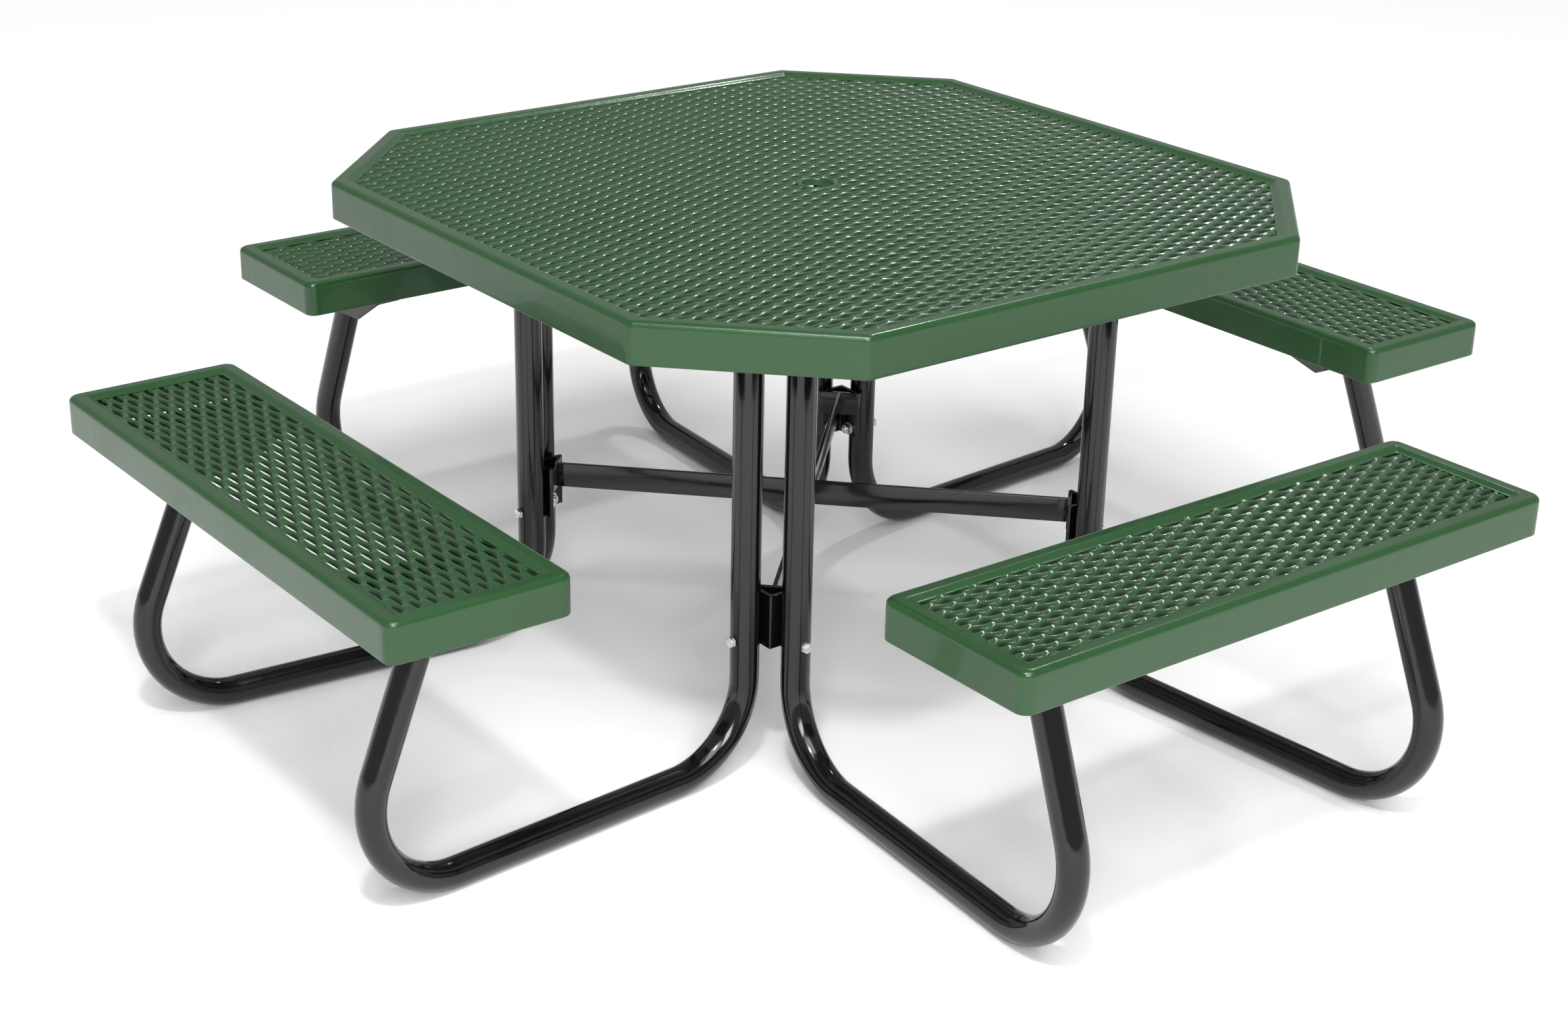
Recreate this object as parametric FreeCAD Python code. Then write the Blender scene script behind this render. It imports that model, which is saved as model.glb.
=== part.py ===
"""Square-sided eight-cornered outdoor table with four attached backless benches.

The frame stands on eight bent steel tubes. Each tube is a table post at one end and a
bench upright at the other, so a bench and the table share two tubes. Lengths are in
millimetres. The origin is on the ground under the middle of the table, and +Z is up.
The table's straight sides face +X, +Y, -X and -Y, and one bench stands outside each.
"""
import FreeCAD, Part
import math
import os

# Table top
TABLE_WIDTH = 1168.4        # across two opposite straight sides
CORNER_CUT = 208.0          # length of side that each cut corner takes away
TABLE_HEIGHT = 736.6        # ground to the top of the rim
TABLE_RIM_DEPTH = 57.0      # height of the skirt

# Bench seats
SEAT_LENGTH = 914.4
SEAT_WIDTH = 254.0
SEAT_HEIGHT = 468.0         # ground to the top of the rim
SEAT_RIM_DEPTH = 55.0
SEAT_CENTRE = 843.0         # middle of the table to the middle of a seat

# Formed steel rims with their coating
RIM_WALL = 5.0
RIM_LIP = 20.0              # width of the border seen from above
RIM_EDGE_RADIUS = 8.0       # rolled edge between lip and skirt
RIM_CORNER_RADIUS = 12.0    # rounding of the upright corners
LIP_CORNER_RADIUS = 4.0

# Coated expanded steel panels
PANEL_THICKNESS = 6.0
PANEL_CLEARANCE = 0.4       # between a panel's edge and the rounding inside the rolled edge
STRAND_LONG_PITCH = 52.0    # opening to opening along the long diagonal
STRAND_SHORT_PITCH = 23.0   # opening to opening along the short diagonal
OPENING_LENGTH = 31.0
OPENING_WIDTH = 9.0
OPENING_MARGIN = 3.0        # uncut steel between the lip and the first opening
TABLE_PATTERN_SCALE = 2.0   # the table's openings are drawn this many times coarser

# Umbrella collar in the middle of the table
UMBRELLA_BORE = 45.0
COLLAR_NECK_WALL = 7.5
COLLAR_NECK_CLEARANCE = 0.3
COLLAR_RISE = 1.0           # height above the panel
COLLAR_FLANGE_WIDTH = 15.0
COLLAR_FLANGE_THICKNESS = 4.0

# Straps under the table top
STRAP_WIDTH = 100.0
STRAP_THICKNESS = 6.0
STRAP_END_CLEARANCE = 0.3

# Bent tube legs
TUBE_DIAMETER = 41.3
TUBE_WALL = 2.8
BEND_RADIUS = 125.0         # to the tube's axis, at both bends
POST_OUT = 324.0            # table's middle to a post's axis, towards the leg's own bench
POST_ACROSS = 274.0         # table's middle to a post's axis, along the leg's own bench
SPLAY_ANGLE = 4.7           # degrees that a leg opens away from its neighbour
RUN_CORNER = 673.0          # post axis to where the run and the upright would meet
UPRIGHT_LEAN = 22.4         # degrees that the upright leans back over its run

# Plates on top of the posts
TOP_PLATE_WIDTH = 46.0
TOP_PLATE_REACH = 50.0      # post axis to the plate's bolt end
TOP_PLATE_BACK = 22.0       # post axis to the plate's other end
TOP_PLATE_THICKNESS = 5.0
TOP_BOLT_OFFSET = 37.0      # post axis to the bolt's axis

# Angle brackets under the seats
BRACKET_LEG = 45.0
BRACKET_THICKNESS = 5.0
BRACKET_LENGTH = 230.0
BRACKET_INSET = 12.0        # seat's inner edge to the bracket's inner end
BRACKET_INNER_TRIM = 40.0   # length lost at the bottom of the web, table side
BRACKET_OUTER_TRIM = 86.0   # length lost at the bottom of the web, far side
BRACKET_BOLT_INSET = 25.0   # end of the bracket to its bolt

# Channels across the inside of the seats
CHANNEL_WIDTH = 50.0
CHANNEL_WALL = 3.0
CHANNEL_END_CLEARANCE = 0.3

# Corner angles that tie two neighbouring posts together
ANGLE_LEG = 50.8
ANGLE_WALL = 6.35
ANGLE_HEIGHT = 79.0
ANGLE_TOP = 269.0           # ground to the upper end
ANGLE_BOLT_HEIGHT = 202.0   # ground to the bolts

# Diagonal braces
BRACE_HEIGHT = 38.0
BRACE_THICKNESS = 6.35
BRACE_PLATE_THICKNESS = 6.35    # plate across a corner angle, welded to the bar's end

# 3/8 inch hexagon fasteners
BOLT_DIAMETER = 9.5
HOLE_CLEARANCE = 0.3        # between a shank and its hole, all round
HEX_ACROSS_FLATS = 14.3
BOLT_HEAD_HEIGHT = 6.2
NUT_HEIGHT = 8.0
NUT_CLEARANCE = 0.1
THREAD_END = 3.0            # shank showing beyond a nut
WASHER_DIAMETER = 20.6
WASHER_THICKNESS = 1.6

OVERCUT = 5.0               # how far a cutting solid passes the face it cuts

SEAT_NAMES = ("right", "back", "left", "front")
LEG_NAMES = {
    "right": {1: "back", -1: "front"},
    "back": {1: "left", -1: "right"},
    "left": {1: "front", -1: "back"},
    "front": {1: "right", -1: "left"},
}
CORNER_NAMES = ("back_right", "back_left", "front_left", "front_right")

ORIGIN = FreeCAD.Vector(0, 0, 0)
UP = FreeCAD.Vector(0, 0, 1)
TUBE_RADIUS = TUBE_DIAMETER / 2
BOLT_RADIUS = BOLT_DIAMETER / 2
SEAT_UNDERSIDE = SEAT_HEIGHT - SEAT_RIM_DEPTH
STRAP_TOP = TABLE_HEIGHT - RIM_WALL - PANEL_THICKNESS
TOP_PLATE_TOP = STRAP_TOP - STRAP_THICKNESS
POST_TOP = TOP_PLATE_TOP - TOP_PLATE_THICKNESS
ANGLE_FACE = POST_OUT - TUBE_RADIUS    # middle of the table to a corner angle's outer face


def vec(x, y, z=0.0):
    """Short form for a vector."""
    return FreeCAD.Vector(x, y, z)


def turned(shape, quarter_turns):
    """A copy turned about the table's middle by whole quarter turns."""
    copy = shape.copy()
    copy.rotate(ORIGIN, UP, 90 * quarter_turns)
    return copy


def save(name, shape):
    """Write one sub-part."""
    shape.exportStep("parts/%s.step" % name)
    print("%-28s %8.1f cm3 %s" % (name, shape.Volume / 1000, shape.isValid()))


def box(x_low, x_high, y_low, y_high, z_low, z_high):
    """A block between two corners."""
    return Part.makeBox(x_high - x_low, y_high - y_low, z_high - z_low, vec(x_low, y_low, z_low))


def prism(points, z_low, z_high):
    """An upright block on a polygon of (x, y) points."""
    corners = [vec(x, y, z_low) for x, y in points]
    return Part.Face(Part.makePolygon(corners + corners[:1])).extrude(vec(0, 0, z_high - z_low))


def rounded_prism(points, z_low, z_high, corner_radius, edge_radius=0.0):
    """A polygon block with rounded upright corners and, if asked, a rounded top edge."""
    block = prism(points, z_low, z_high)
    height = z_high - z_low
    upright = [edge for edge in block.Edges if edge.BoundBox.ZLength > height / 2]
    block = block.makeFillet(corner_radius, upright)
    if edge_radius > 0:
        flat = [edge for edge in block.Edges if edge.BoundBox.ZMin > z_high - height / 100]
        block = block.makeFillet(edge_radius, flat)
    return block


# Outlines -----------------------------------------------------------------------------

def table_outline(inset):
    """Corners of the eight-sided table outline, moved in from its edge."""
    half = TABLE_WIDTH / 2 - inset
    short = half - (CORNER_CUT - inset * (2 - math.sqrt(2)))
    quarter = [(half, -short), (half, short)]
    points = []
    for turn in range(4):
        angle = math.radians(90 * turn)
        for x, y in quarter:
            points.append((x * math.cos(angle) - y * math.sin(angle),
                           x * math.sin(angle) + y * math.cos(angle)))
    return points


def seat_outline(inset):
    """Corners of the seat on the +X side, moved in from its edge."""
    half_width = SEAT_WIDTH / 2 - inset
    half_length = SEAT_LENGTH / 2 - inset
    return [(SEAT_CENTRE - half_width, -half_length), (SEAT_CENTRE + half_width, -half_length),
            (SEAT_CENTRE + half_width, half_length), (SEAT_CENTRE - half_width, half_length)]


def is_inside(x, y, outline):
    """Whether a point lies inside a polygon that turns left all the way."""
    for (x_a, y_a), (x_b, y_b) in zip(outline, outline[1:] + outline[:1]):
        if (x_b - x_a) * (y - y_a) - (y_b - y_a) * (x - x_a) < 0:
            return False
    return True


# Rims and panels ----------------------------------------------------------------------

def make_rim(outline, top, depth):
    """A downward skirt with a flat lip turned in at its top."""
    shell = rounded_prism(outline(0), top - depth, top, RIM_CORNER_RADIUS, RIM_EDGE_RADIUS)
    tray = rounded_prism(outline(RIM_WALL), top - depth - OVERCUT, top - RIM_WALL,
                         RIM_CORNER_RADIUS - RIM_WALL, RIM_EDGE_RADIUS - RIM_WALL)
    window = rounded_prism(outline(RIM_LIP), top - RIM_WALL - OVERCUT, top + OVERCUT,
                           LIP_CORNER_RADIUS)
    return shell.cut(tray).cut(window)


def opening_wire(x, y, half_x, half_y, level):
    """The outline of one diamond opening."""
    points = [vec(x - half_x, y, level), vec(x, y - half_y, level),
              vec(x + half_x, y, level), vec(x, y + half_y, level)]
    return Part.makePolygon(points + points[:1])


def opening_centres(outline, middle, keep_clear, scale):
    """Centres of the openings that fit inside the lip, in two interleaved grids.

    The long diagonals lie along Y. Openings nearer than keep_clear to the middle are
    left out, which makes room for a collar.
    """
    limit = outline(RIM_LIP + OPENING_MARGIN)
    half_x = OPENING_WIDTH * scale / 2
    half_y = OPENING_LENGTH * scale / 2
    pitch_x = STRAND_SHORT_PITCH * scale
    half_pitch_y = STRAND_LONG_PITCH * scale / 2
    columns = math.ceil(max(abs(x - middle) for x, _ in limit) / pitch_x) + 1
    rows = math.ceil(max(abs(y) for _, y in limit) / half_pitch_y)
    centres = []
    for row in range(-rows, rows + 1):
        for column in range(-columns, columns + 1):
            x = middle + (column + row % 2 / 2) * pitch_x
            y = row * half_pitch_y
            tips = [(x - half_x, y), (x + half_x, y), (x, y - half_y), (x, y + half_y)]
            near = min(math.hypot(tip_x - middle, tip_y) for tip_x, tip_y in tips)
            if near >= keep_clear and all(is_inside(tx, ty, limit) for tx, ty in tips):
                centres.append((x, y))
    return centres


def make_panel(outline, top, middle=0.0, centre_hole=0.0, keep_clear=0.0, scale=1.0):
    """An expanded steel panel whose top face meets the underside of its rim's lip."""
    level = top - RIM_WALL - PANEL_THICKNESS
    inset = max(RIM_WALL, RIM_EDGE_RADIUS) + PANEL_CLEARANCE
    blank = rounded_prism(outline(inset), level, level + PANEL_THICKNESS, LIP_CORNER_RADIUS)
    base = min(blank.Faces, key=lambda face: face.CenterOfMass.z)
    wires = [base.OuterWire]
    if centre_hole > 0:
        wires.append(Part.Wire(Part.makeCircle(centre_hole, vec(middle, 0, level))))
    for x, y in opening_centres(outline, middle, keep_clear, scale):
        wires.append(opening_wire(x, y, OPENING_WIDTH * scale / 2, OPENING_LENGTH * scale / 2, level))
    return Part.Face(wires).extrude(vec(0, 0, PANEL_THICKNESS))


def make_collar():
    """The ring that guides an umbrella pole, with a flange under the panel."""
    bore = UMBRELLA_BORE / 2
    panel_top = TABLE_HEIGHT - RIM_WALL
    neck_bottom = panel_top - PANEL_THICKNESS
    low = neck_bottom - COLLAR_FLANGE_THICKNESS
    neck = Part.makeCylinder(bore + COLLAR_NECK_WALL, panel_top + COLLAR_RISE - low, vec(0, 0, low))
    flange = Part.makeCylinder(bore + COLLAR_NECK_WALL + COLLAR_FLANGE_WIDTH,
                               COLLAR_FLANGE_THICKNESS, vec(0, 0, low))
    hole = Part.makeCylinder(bore, TABLE_HEIGHT - low + OVERCUT, vec(0, 0, low - OVERCUT))
    return neck.fuse(flange).cut(hole).removeSplitter()


# Fasteners ----------------------------------------------------------------------------

def hexagon(height):
    """A hexagonal block that stands on the origin."""
    radius = HEX_ACROSS_FLATS / math.sqrt(3)
    points = [(radius * math.cos(math.radians(60 * n)), radius * math.sin(math.radians(60 * n)))
              for n in range(6)]
    return prism(points, 0, height)


def aimed(shape, position, direction):
    """A fastener made along +Z, moved so that +Z follows a direction."""
    placed = shape.copy()
    placed.Placement = FreeCAD.Placement(position, FreeCAD.Rotation(UP, direction))
    return placed


def make_bolt(grip):
    """A hexagon bolt whose head's underside is at the origin and whose shank runs along +Z."""
    head = hexagon(BOLT_HEAD_HEIGHT)
    head.translate(vec(0, 0, -BOLT_HEAD_HEIGHT))
    return head.fuse(Part.makeCylinder(BOLT_RADIUS, grip)).removeSplitter()


def make_nut():
    """A hexagon nut that stands on the origin."""
    return hexagon(NUT_HEIGHT).cut(Part.makeCylinder(BOLT_RADIUS + NUT_CLEARANCE, NUT_HEIGHT))


def make_washer():
    """A plain washer that lies on the origin."""
    disc = Part.makeCylinder(WASHER_DIAMETER / 2, WASHER_THICKNESS)
    return disc.cut(Part.makeCylinder(BOLT_RADIUS + NUT_CLEARANCE, WASHER_THICKNESS))


def drill(position, direction, depth):
    """The solid that a clearance hole takes away, from a point along a direction."""
    return Part.makeCylinder(BOLT_RADIUS + HOLE_CLEARANCE, depth, position, direction)


# Legs ---------------------------------------------------------------------------------

def leg_path():
    """The axis of a leg in its own plane, from the post's top to past the seat bracket.

    The leg's own frame has its origin under the post, X along the run and Z up.
    """
    lean = math.radians(UPRIGHT_LEAN)
    run_level = TUBE_RADIUS
    upright = vec(-math.sin(lean), 0, math.cos(lean))
    corner = vec(RUN_CORNER, 0, run_level)
    tangent = BEND_RADIUS * math.tan((math.pi / 2 + lean) / 2)
    rise = (SEAT_UNDERSIDE - run_level) / math.cos(lean)
    inner_centre = vec(BEND_RADIUS, 0, run_level + BEND_RADIUS)
    outer_centre = vec(RUN_CORNER - tangent, 0, run_level + BEND_RADIUS)
    inner_middle = inner_centre - vec(1, 0, 1) * (BEND_RADIUS / math.sqrt(2))
    half_turn = (math.pi / 2 + lean) / 2
    outer_middle = outer_centre + vec(math.sin(half_turn), 0, -math.cos(half_turn)) * BEND_RADIUS
    post_end = vec(0, 0, run_level + BEND_RADIUS)
    run_start = vec(BEND_RADIUS, 0, run_level)
    run_end = vec(RUN_CORNER - tangent, 0, run_level)
    upright_start = corner + upright * tangent
    edges = [
        Part.LineSegment(vec(0, 0, POST_TOP), post_end).toShape(),
        Part.Arc(post_end, inner_middle, run_start).toShape(),
        Part.LineSegment(run_start, run_end).toShape(),
        Part.Arc(run_end, outer_middle, upright_start).toShape(),
        Part.LineSegment(upright_start, corner + upright * rise).toShape(),
    ]
    return Part.Wire(edges)


def swept(path, radius):
    """A round bar along the leg's axis."""
    circle = Part.Wire(Part.makeCircle(radius, vec(0, 0, POST_TOP), UP))
    return path.makePipeShell([circle], True, False)


def make_leg():
    """One bent tube in its own frame, cut level under the bracket's flange."""
    path = leg_path()
    tube = swept(path, TUBE_RADIUS).cut(swept(path, TUBE_RADIUS - TUBE_WALL))
    bracket_low = SEAT_UNDERSIDE - BRACKET_THICKNESS
    above = box(RUN_CORNER / 2, 2 * RUN_CORNER, -RUN_CORNER, RUN_CORNER,
                bracket_low, TABLE_HEIGHT)
    return tube.cut(above)


def set_in_row(shape, side):
    """Move a piece from a leg's own frame to its place beside the +X seat."""
    placed = shape.copy()
    placed.rotate(ORIGIN, UP, side * SPLAY_ANGLE)
    placed.translate(vec(POST_OUT, side * POST_ACROSS, 0))
    return placed


def bracket_span():
    """Where a seat bracket starts and ends along its leg's own X axis."""
    seat_edge = SEAT_CENTRE - SEAT_WIDTH / 2
    start = (seat_edge + BRACKET_INSET - POST_OUT) / math.cos(math.radians(SPLAY_ANGLE))
    return start, start + BRACKET_LENGTH


def bracket_bolts(side):
    """Where the two bolts of a bracket meet the seat's underside, beside the +X seat."""
    start, end = bracket_span()
    angle = math.radians(side * SPLAY_ANGLE)
    spots = []
    for along in (start + BRACKET_BOLT_INSET, end - BRACKET_BOLT_INSET):
        spots.append(vec(POST_OUT + along * math.cos(angle),
                         side * POST_ACROSS + along * math.sin(angle), SEAT_UNDERSIDE))
    return spots


def make_bracket():
    """The steel angle between an upright and its seat, in the leg's own frame.

    The flange lies against the seat. The web hangs beside the tube, which is welded to it.
    """
    start, end = bracket_span()
    top = SEAT_UNDERSIDE
    web_inside = TUBE_RADIUS
    web_outside = TUBE_RADIUS + BRACKET_THICKNESS
    flange = box(start, end, web_outside - BRACKET_LEG, web_outside, top - BRACKET_THICKNESS, top)
    web_points = [vec(start, web_inside, top), vec(start + BRACKET_INNER_TRIM, web_inside, top - BRACKET_LEG),
                  vec(end - BRACKET_OUTER_TRIM, web_inside, top - BRACKET_LEG), vec(end, web_inside, top)]
    web = Part.Face(Part.makePolygon(web_points + web_points[:1])).extrude(vec(0, BRACKET_THICKNESS, 0))
    return flange.fuse(web).removeSplitter()


def make_channel(side):
    """A channel across the inside of the +X seat that carries the panel and takes the bolts."""
    spots = bracket_bolts(side)
    middle = (spots[0].y + spots[1].y) / 2
    reach = SEAT_WIDTH / 2 - RIM_WALL - CHANNEL_END_CLEARANCE
    x_low = SEAT_CENTRE - reach
    x_high = SEAT_CENTRE + reach
    top = SEAT_HEIGHT - RIM_WALL - PANEL_THICKNESS
    half = CHANNEL_WIDTH / 2
    outer = box(x_low, x_high, middle - half, middle + half, SEAT_UNDERSIDE, top)
    inner = box(x_low - OVERCUT, x_high + OVERCUT, middle - half + CHANNEL_WALL, middle + half - CHANNEL_WALL,
                SEAT_UNDERSIDE + CHANNEL_WALL, top + OVERCUT)
    channel = outer.cut(inner)
    for spot in spots:
        channel = channel.cut(drill(spot - UP * OVERCUT, UP, CHANNEL_WALL + 2 * OVERCUT))
    return channel


def make_top_plate(direction):
    """The plate on a post, made round the post's axis, with its bolt end along X."""
    half = TOP_PLATE_WIDTH / 2
    ends = sorted((-direction * TOP_PLATE_BACK, direction * TOP_PLATE_REACH))
    plate = box(ends[0], ends[1], -half, half, POST_TOP, TOP_PLATE_TOP)
    hole = drill(vec(direction * TOP_BOLT_OFFSET, 0, POST_TOP - OVERCUT), UP,
                 TOP_PLATE_THICKNESS + 2 * OVERCUT)
    return plate.cut(hole)


# Corner angles and braces -------------------------------------------------------------

def make_angle(outer_face, leg, wall, low, high):
    """An angle whose heel points out along +X +Y, with its legs running back from the heel."""
    points = [(outer_face, outer_face), (outer_face - leg, outer_face),
              (outer_face - leg, outer_face - wall), (outer_face - wall, outer_face - wall),
              (outer_face - wall, outer_face - leg), (outer_face, outer_face - leg)]
    return prism(points, low, high)


def make_brace(start, end):
    """A flat bar on edge along the +X +Y diagonal, between two distances from the middle."""
    half = BRACE_THICKNESS / 2
    bar = box(start, end, -half, half, ANGLE_TOP - BRACE_HEIGHT, ANGLE_TOP)
    bar.rotate(ORIGIN, UP, 45)
    return bar


def make_brace_plate():
    """The plate across a corner angle, flush with its toes and mitred to its inside faces."""
    inside = ANGLE_FACE - ANGLE_WALL
    near = brace_reach()
    far = near + BRACE_PLATE_THICKNESS
    heel = inside * math.sqrt(2)
    points = [(near, near - heel), (far, far - heel), (far, heel - far), (near, heel - near)]
    plate = prism(points, ANGLE_TOP - BRACE_HEIGHT, ANGLE_TOP)
    plate.rotate(ORIGIN, UP, 45)
    return plate


def brace_reach():
    """Middle of the table to the end of a brace, along the diagonal."""
    toe = ANGLE_FACE - ANGLE_LEG
    return (toe + ANGLE_FACE - ANGLE_WALL) / math.sqrt(2)


def build_table_top():
    """Rim, panel, umbrella collar and the two straps that carry the posts."""
    save("table_rim", make_rim(table_outline, TABLE_HEIGHT, TABLE_RIM_DEPTH))
    neck = UMBRELLA_BORE / 2 + COLLAR_NECK_WALL
    save("table_mesh", make_panel(table_outline, TABLE_HEIGHT, 0.0, neck + COLLAR_NECK_CLEARANCE,
                                  neck + OPENING_MARGIN, TABLE_PATTERN_SCALE))
    save("umbrella_collar", make_collar())
    reach = TABLE_WIDTH / 2 - RIM_WALL - STRAP_END_CLEARANCE
    line = (POST_OUT + POST_ACROSS) / 2
    strap = box(-reach, reach, line - STRAP_WIDTH / 2, line + STRAP_WIDTH / 2,
                STRAP_TOP - STRAP_THICKNESS, STRAP_TOP)
    for post_x, post_y, direction in post_places():
        if post_y > 0:
            spot = vec(post_x + direction * TOP_BOLT_OFFSET, post_y, TOP_PLATE_TOP - OVERCUT)
            strap = strap.cut(drill(spot, UP, STRAP_THICKNESS + 2 * OVERCUT))
    save("top_strap_back", strap)
    save("top_strap_front", turned(strap, 2))


def post_places():
    """Each post's x and y, and which way along X its top plate reaches."""
    places = []
    for turn in range(4):
        for side in (1, -1):
            post = turned(Part.Vertex(POST_OUT, side * POST_ACROSS, 0), turn).Point
            outward = 1 if post.x > 0 else -1
            direction = outward if abs(post.x) > abs(post.y) else -outward
            places.append((post.x, post.y, direction))
    return places


def build_seats():
    """Rim, panel and the pair of channels of each seat."""
    rim = make_rim(seat_outline, SEAT_HEIGHT, SEAT_RIM_DEPTH)
    panel = make_panel(seat_outline, SEAT_HEIGHT, SEAT_CENTRE)
    channels = Part.makeCompound([make_channel(side) for side in (1, -1)])
    for turn, seat in enumerate(SEAT_NAMES):
        save("seat_%s_rim" % seat, turned(rim, turn))
        save("seat_%s_mesh" % seat, turned(panel, turn))
        save("seat_%s_channels" % seat, turned(channels, turn))


def build_legs():
    """Tubes, seat brackets and post plates."""
    tube = make_leg()
    bracket = make_bracket()
    places = iter(post_places())
    for turn, seat in enumerate(SEAT_NAMES):
        for side in (1, -1):
            name = "%s_seat_%%s_%s" % (seat, LEG_NAMES[seat][side])
            post = vec(POST_OUT + TUBE_DIAMETER, side * POST_ACROSS, ANGLE_BOLT_HEIGHT)
            leg = set_in_row(tube, side).cut(drill(post, vec(-1, 0, 0), 2 * TUBE_DIAMETER))
            save(name % "leg", turned(leg, turn))
            fitted = set_in_row(bracket, side)
            for spot in bracket_bolts(side):
                fitted = fitted.cut(drill(spot - UP * 2 * BRACKET_THICKNESS, UP, 3 * BRACKET_THICKNESS))
            save(name % "bracket", turned(fitted, turn))
            post_x, post_y, direction = next(places)
            plate = make_top_plate(direction)
            plate.translate(vec(post_x, post_y, 0))
            save(name % "post_plate", plate)


def build_corners():
    """Corner angles, brace plates and the crossed braces."""
    angle = make_angle(ANGLE_FACE, ANGLE_LEG, ANGLE_WALL, ANGLE_TOP - ANGLE_HEIGHT, ANGLE_TOP)
    outside = ANGLE_FACE + OVERCUT
    depth = ANGLE_WALL + 2 * OVERCUT
    angle = angle.cut(drill(vec(outside, POST_ACROSS, ANGLE_BOLT_HEIGHT), vec(-1, 0, 0), depth))
    angle = angle.cut(drill(vec(POST_ACROSS, outside, ANGLE_BOLT_HEIGHT), vec(0, -1, 0), depth))
    plate = make_brace_plate()
    for turn, corner in enumerate(CORNER_NAMES):
        save("corner_angle_%s" % corner, turned(angle, turn))
        save("brace_plate_%s" % corner, turned(plate, turn))
    reach = brace_reach()
    save("brace_long", make_brace(-reach, reach))
    half_bar = make_brace(BRACE_THICKNESS / 2, reach)
    save("brace_short_back", turned(half_bar, 1))
    save("brace_short_front", turned(half_bar, 3))


def build_fasteners():
    """Each kind of fastener as one group of separate pieces."""
    nut = make_nut()
    washer = make_washer()
    inward = vec(-1, 0, 0)
    corner_bolt = make_bolt(TUBE_DIAMETER + ANGLE_WALL + WASHER_THICKNESS + NUT_HEIGHT + THREAD_END)
    seat_bolt = make_bolt(BRACKET_THICKNESS + CHANNEL_WALL + NUT_HEIGHT + THREAD_END)
    top_bolt = make_bolt(TOP_PLATE_THICKNESS + STRAP_THICKNESS)
    groups = {"corner_bolts": [], "corner_washers": [], "corner_nuts": [],
              "seat_bolts": [], "seat_nuts": [], "top_bolts": []}
    for turn in range(4):
        for side in (1, -1):
            across = side * POST_ACROSS
            inside = ANGLE_FACE - ANGLE_WALL
            spots = [("corner_bolts", corner_bolt, POST_OUT + TUBE_RADIUS),
                     ("corner_washers", washer, inside),
                     ("corner_nuts", nut, inside - WASHER_THICKNESS)]
            for group, piece, out in spots:
                groups[group].append(turned(aimed(piece, vec(out, across, ANGLE_BOLT_HEIGHT), inward), turn))
            for spot in bracket_bolts(side):
                head = spot - UP * BRACKET_THICKNESS
                groups["seat_bolts"].append(turned(aimed(seat_bolt, head, UP), turn))
                groups["seat_nuts"].append(turned(aimed(nut, spot + UP * CHANNEL_WALL, UP), turn))
    for post_x, post_y, direction in post_places():
        groups["top_bolts"].append(
            aimed(top_bolt, vec(post_x + direction * TOP_BOLT_OFFSET, post_y, POST_TOP), UP))
    for name, pieces in groups.items():
        save(name, Part.makeCompound(pieces))


os.makedirs("parts", exist_ok=True)
build_table_top()
build_seats()
build_legs()
build_corners()
build_fasteners()
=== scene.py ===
"""Looks of an eight-sided outdoor table with four attached backless benches.

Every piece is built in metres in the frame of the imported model: the ground is z = 0, the
middle of the table stands over the origin, and the benches face +X, +Y, -X and -Y.
Coated sheet parts are green, the tube frame is black, and the fasteners are zinc plated.
"""

import logging
import math
from dataclasses import dataclass, field, replace
from enum import Enum
from functools import lru_cache
from typing import Sequence

import bmesh
import bpy
import numpy as np
from mathutils import Matrix, Vector


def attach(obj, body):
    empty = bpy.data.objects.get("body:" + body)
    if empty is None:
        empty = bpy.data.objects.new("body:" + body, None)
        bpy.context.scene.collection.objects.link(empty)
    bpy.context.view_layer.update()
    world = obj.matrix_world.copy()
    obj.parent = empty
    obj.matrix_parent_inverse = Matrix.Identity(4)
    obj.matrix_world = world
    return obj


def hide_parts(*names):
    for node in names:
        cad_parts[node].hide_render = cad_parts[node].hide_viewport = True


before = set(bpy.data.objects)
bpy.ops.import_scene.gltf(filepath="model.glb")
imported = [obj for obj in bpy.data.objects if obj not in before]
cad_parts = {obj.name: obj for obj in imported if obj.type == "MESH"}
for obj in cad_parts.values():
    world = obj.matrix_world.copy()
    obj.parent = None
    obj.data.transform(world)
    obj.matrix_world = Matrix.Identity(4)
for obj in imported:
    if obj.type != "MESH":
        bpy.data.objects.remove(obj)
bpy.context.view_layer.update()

LOG = logging.getLogger("table_with_benches")
MM = 0.001
# Between a skirt and what ends at it, in millimetres.
END_CLEARANCE = 0.3
# Support points near both ends of a side between two arcs, as shares of its length.
NEAR_ENDS = (0.05, 0.95)
SHARP_ANGLE = math.radians(42)


class Seat(Enum):
    """The four benches, by the number of quarter turns from the one on +X."""

    RIGHT = 0
    BACK = 1
    LEFT = 2
    FRONT = 3

    @property
    def word(self) -> str:
        """The word that node names use for this bench."""
        return self.name.lower()

    def leg_words(self) -> dict[int, str]:
        """Names of its two legs: +1 is the leg one quarter turn on, -1 the other.

        Returns:
            The word of each leg by its side.
        """
        order = list(Seat)
        return {
            1: order[(self.value + 1) % 4].word,
            -1: order[(self.value - 1) % 4].word,
        }


class Corner(Enum):
    """The four places where two posts are tied, by quarter turns from +X +Y."""

    BACK_RIGHT = 0
    BACK_LEFT = 1
    FRONT_LEFT = 2
    FRONT_RIGHT = 3

    @property
    def word(self) -> str:
        """The word that node names use for this corner."""
        return self.name.lower()


# Surfaces ---------------------------------------------------------------------------


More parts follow.
